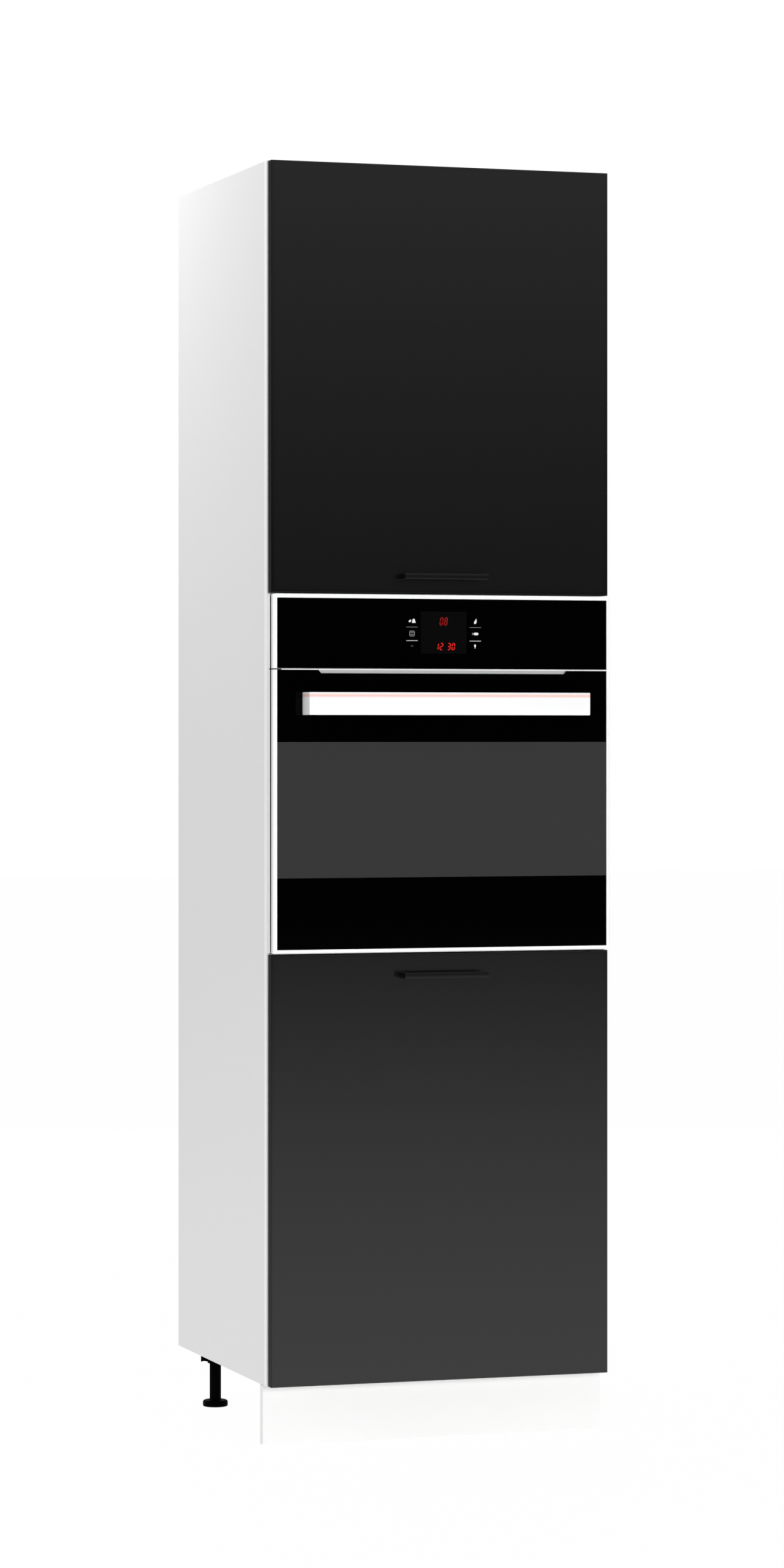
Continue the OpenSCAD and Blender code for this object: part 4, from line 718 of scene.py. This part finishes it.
doorScrews = {"in": 17.0, "paneIn": 20.0, "across": 7.0}
levels = (low("oven_door_panes", axisZ) + doorScrews["paneIn"] * mm,
          high("oven_door_panes", axisZ) - doorScrews["paneIn"] * mm)
addScrews("door_frame_screw_heads",
          pairAcross(high("oven_door_frame", axisX) - doorScrews["in"] * mm,
                     high("oven_door_frame", axisY), levels),
          towardsBack, doorScrews["across"], "zinc", "oven_door")
print("stage: screw heads")


# floor: white to the camera by its share, the rest a soft shadow near the part; in reflections in
# the part it is a painted pool of light, bright near the middle and falling off, near and far being
# (metres away, glow)
floorLook = {"label": "floor", "colour": (0.82, 0.82, 0.82), "rough": 0.6, "scale": 40,
             "relief": 0.2, "half": 30.0, "share": 0.985, "near": (0.5, 1.2), "far": (20.0, 0.02)}


def makeFloor():
    half = floorLook["half"]
    mesh = bpy.data.meshes.new("floor")
    mesh.from_pydata([(-half, -half, 0), (half, -half, 0), (half, half, 0), (-half, half, 0)],
                     [], [(0, 1, 2, 3)])
    material = makeFinish(floorLook)
    mesh.materials.append(material)
    piece = bpy.data.objects.new("floor", mesh)
    bpy.context.scene.collection.objects.link(piece)
    tree = material.node_tree
    rays = addNode(tree, "ShaderNodeLightPath").outputs
    white = addNode(tree, "ShaderNodeEmission", {"Strength": 1.0})
    share = addMath(tree, "MULTIPLY", rays["Is Camera Ray"], floorLook["share"])
    seen = addNode(tree, "ShaderNodeMixShader", {0: share, 1: shaderOf(material).outputs[0],
                                                 2: white.outputs[0]})
    # painted pool of light: in reflections the floor glows bright near the middle and fades with
    # distance
    place = addNode(tree, "ShaderNodeTexCoord").outputs["Object"]
    away = addNode(tree, "ShaderNodeVectorMath", {0: place}, operation="LENGTH")
    (nearAway, nearGlow), (farAway, farGlow) = floorLook["near"], floorLook["far"]
    fall = addNode(tree, "ShaderNodeMapRange", {0: away.outputs["Value"], 1: nearAway,
                                                2: farAway, 3: nearGlow, 4: farGlow})
    paintedFloorGlow = addNode(tree, "ShaderNodeEmission", {"Strength": fall.outputs[0]})
    either = addNode(tree, "ShaderNodeMixShader", {0: rays["Is Glossy Ray"], 1: seen.outputs[0],
                                                   2: paintedFloorGlow.outputs[0]})
    tree.links.new(either.outputs[0], tree.nodes["Material Output"].inputs["Surface"])
    return piece


# world: white to the camera; in reflections dark at eye level and bright overhead, in steps of
# height and grey
studio = {"sky": 0.45, "ramp": ((0.03, 0.01), (0.24, 1.0), (0.7, 0.5))}


def makeWorld():
    world = bpy.data.worlds.new("studio")
    bpy.context.scene.world = world
    world.use_nodes = True
    tree = world.node_tree
    tree.nodes.clear()
    place = addNode(tree, "ShaderNodeTexCoord").outputs["Generated"]
    height = addNode(tree, "ShaderNodeSeparateXYZ", {0: place}).outputs[2]
    ramp = addNode(tree, "ShaderNodeValToRGB", {0: height})
    steps = ramp.color_ramp.elements
    for i, (where, grey) in enumerate(studio["ramp"]):
        step = steps[i] if i < len(steps) else steps.new(where)
        step.position, step.color = where, (grey, grey, grey, 1)
    rays = addNode(tree, "ShaderNodeLightPath").outputs
    white = (1, 1, 1, 1)
    sky = addNode(tree, "ShaderNodeBackground", {"Color": white, "Strength": studio["sky"]})
    shine = addNode(tree, "ShaderNodeBackground", {"Color": ramp.outputs[0], "Strength": 1.0})
    plain = addNode(tree, "ShaderNodeBackground", {"Color": white, "Strength": 1.0})
    mixed = addNode(tree, "ShaderNodeMixShader", {0: rays["Is Glossy Ray"], 1: sky.outputs[0],
                                                  2: shine.outputs[0]})
    seen = addNode(tree, "ShaderNodeMixShader", {0: rays["Is Camera Ray"], 1: mixed.outputs[0],
                                                 2: plain.outputs[0]})
    addNode(tree, "ShaderNodeOutputWorld", {0: seen.outputs[0]})


# lamps: place and target in metres, size in metres, strength in watts
lampBook = {
    "front light": {"place": (0.7, -5.6, 1.0), "target": (0, 0, 0.75), "size": (3.4, 1.9),
                    "watts": 190},
    "side light": {"place": (-5.0, -0.4, 2.2), "target": (-0.3, 0, 1.1), "size": (2.4, 2.4),
                   "watts": 80},
    "corner light": {"place": (-0.95, 0.75, 2.75), "target": (-0.3, 0.3, 2.05),
                     "size": (0.5, 0.5), "watts": 8.0},
    "right light": {"place": (5.0, 0.6, 1.8), "target": (0.3, 0, 1.1), "size": (2.4, 2.4),
                    "watts": 40},
    "rear light": {"place": (1.2, 5.6, 1.7), "target": (0, 0.3, 1.1), "size": (2.8, 2.4),
                   "watts": 80},
}


def makeLamp(name, look):
    light = bpy.data.lights.new(name, "AREA")
    light.shape = "RECTANGLE"
    light.size, light.size_y = look["size"]
    light.energy = look["watts"]
    lamp = bpy.data.objects.new(name, light)
    lamp.location = look["place"]
    aim = Vector(look["target"]) - Vector(look["place"])
    lamp.rotation_euler = aim.to_track_quat("-Z", "Y").to_euler()
    lamp.visible_glossy = False
    bpy.context.scene.collection.objects.link(lamp)
    return lamp


# camera: level, turned to the left side; lens in millimetres, turn in degrees
view = {"place": (-2.4736, -7.5501, 1.1834), "turn": -18.122, "lens": 105.256, "film": 36,
        "shiftUp": -0.03086}


def makeCamera():
    camera = bpy.data.cameras.new("camera")
    camera.lens = view["lens"]
    camera.sensor_fit = "VERTICAL"
    camera.sensor_height = view["film"]
    camera.shift_y = view["shiftUp"]
    eye = bpy.data.objects.new("camera", camera)
    eye.location = view["place"]
    eye.rotation_euler = (math.radians(90), 0, math.radians(view["turn"]))
    bpy.context.scene.collection.objects.link(eye)
    bpy.context.scene.camera = eye


floor = makeFloor()
makeWorld()
lamps = [makeLamp(name, look) for name, look in lampBook.items()]
makeCamera()
bpy.context.scene.view_settings.view_transform = "Standard"
print("stage: floor, world,", len(lamps), "lamps and camera")
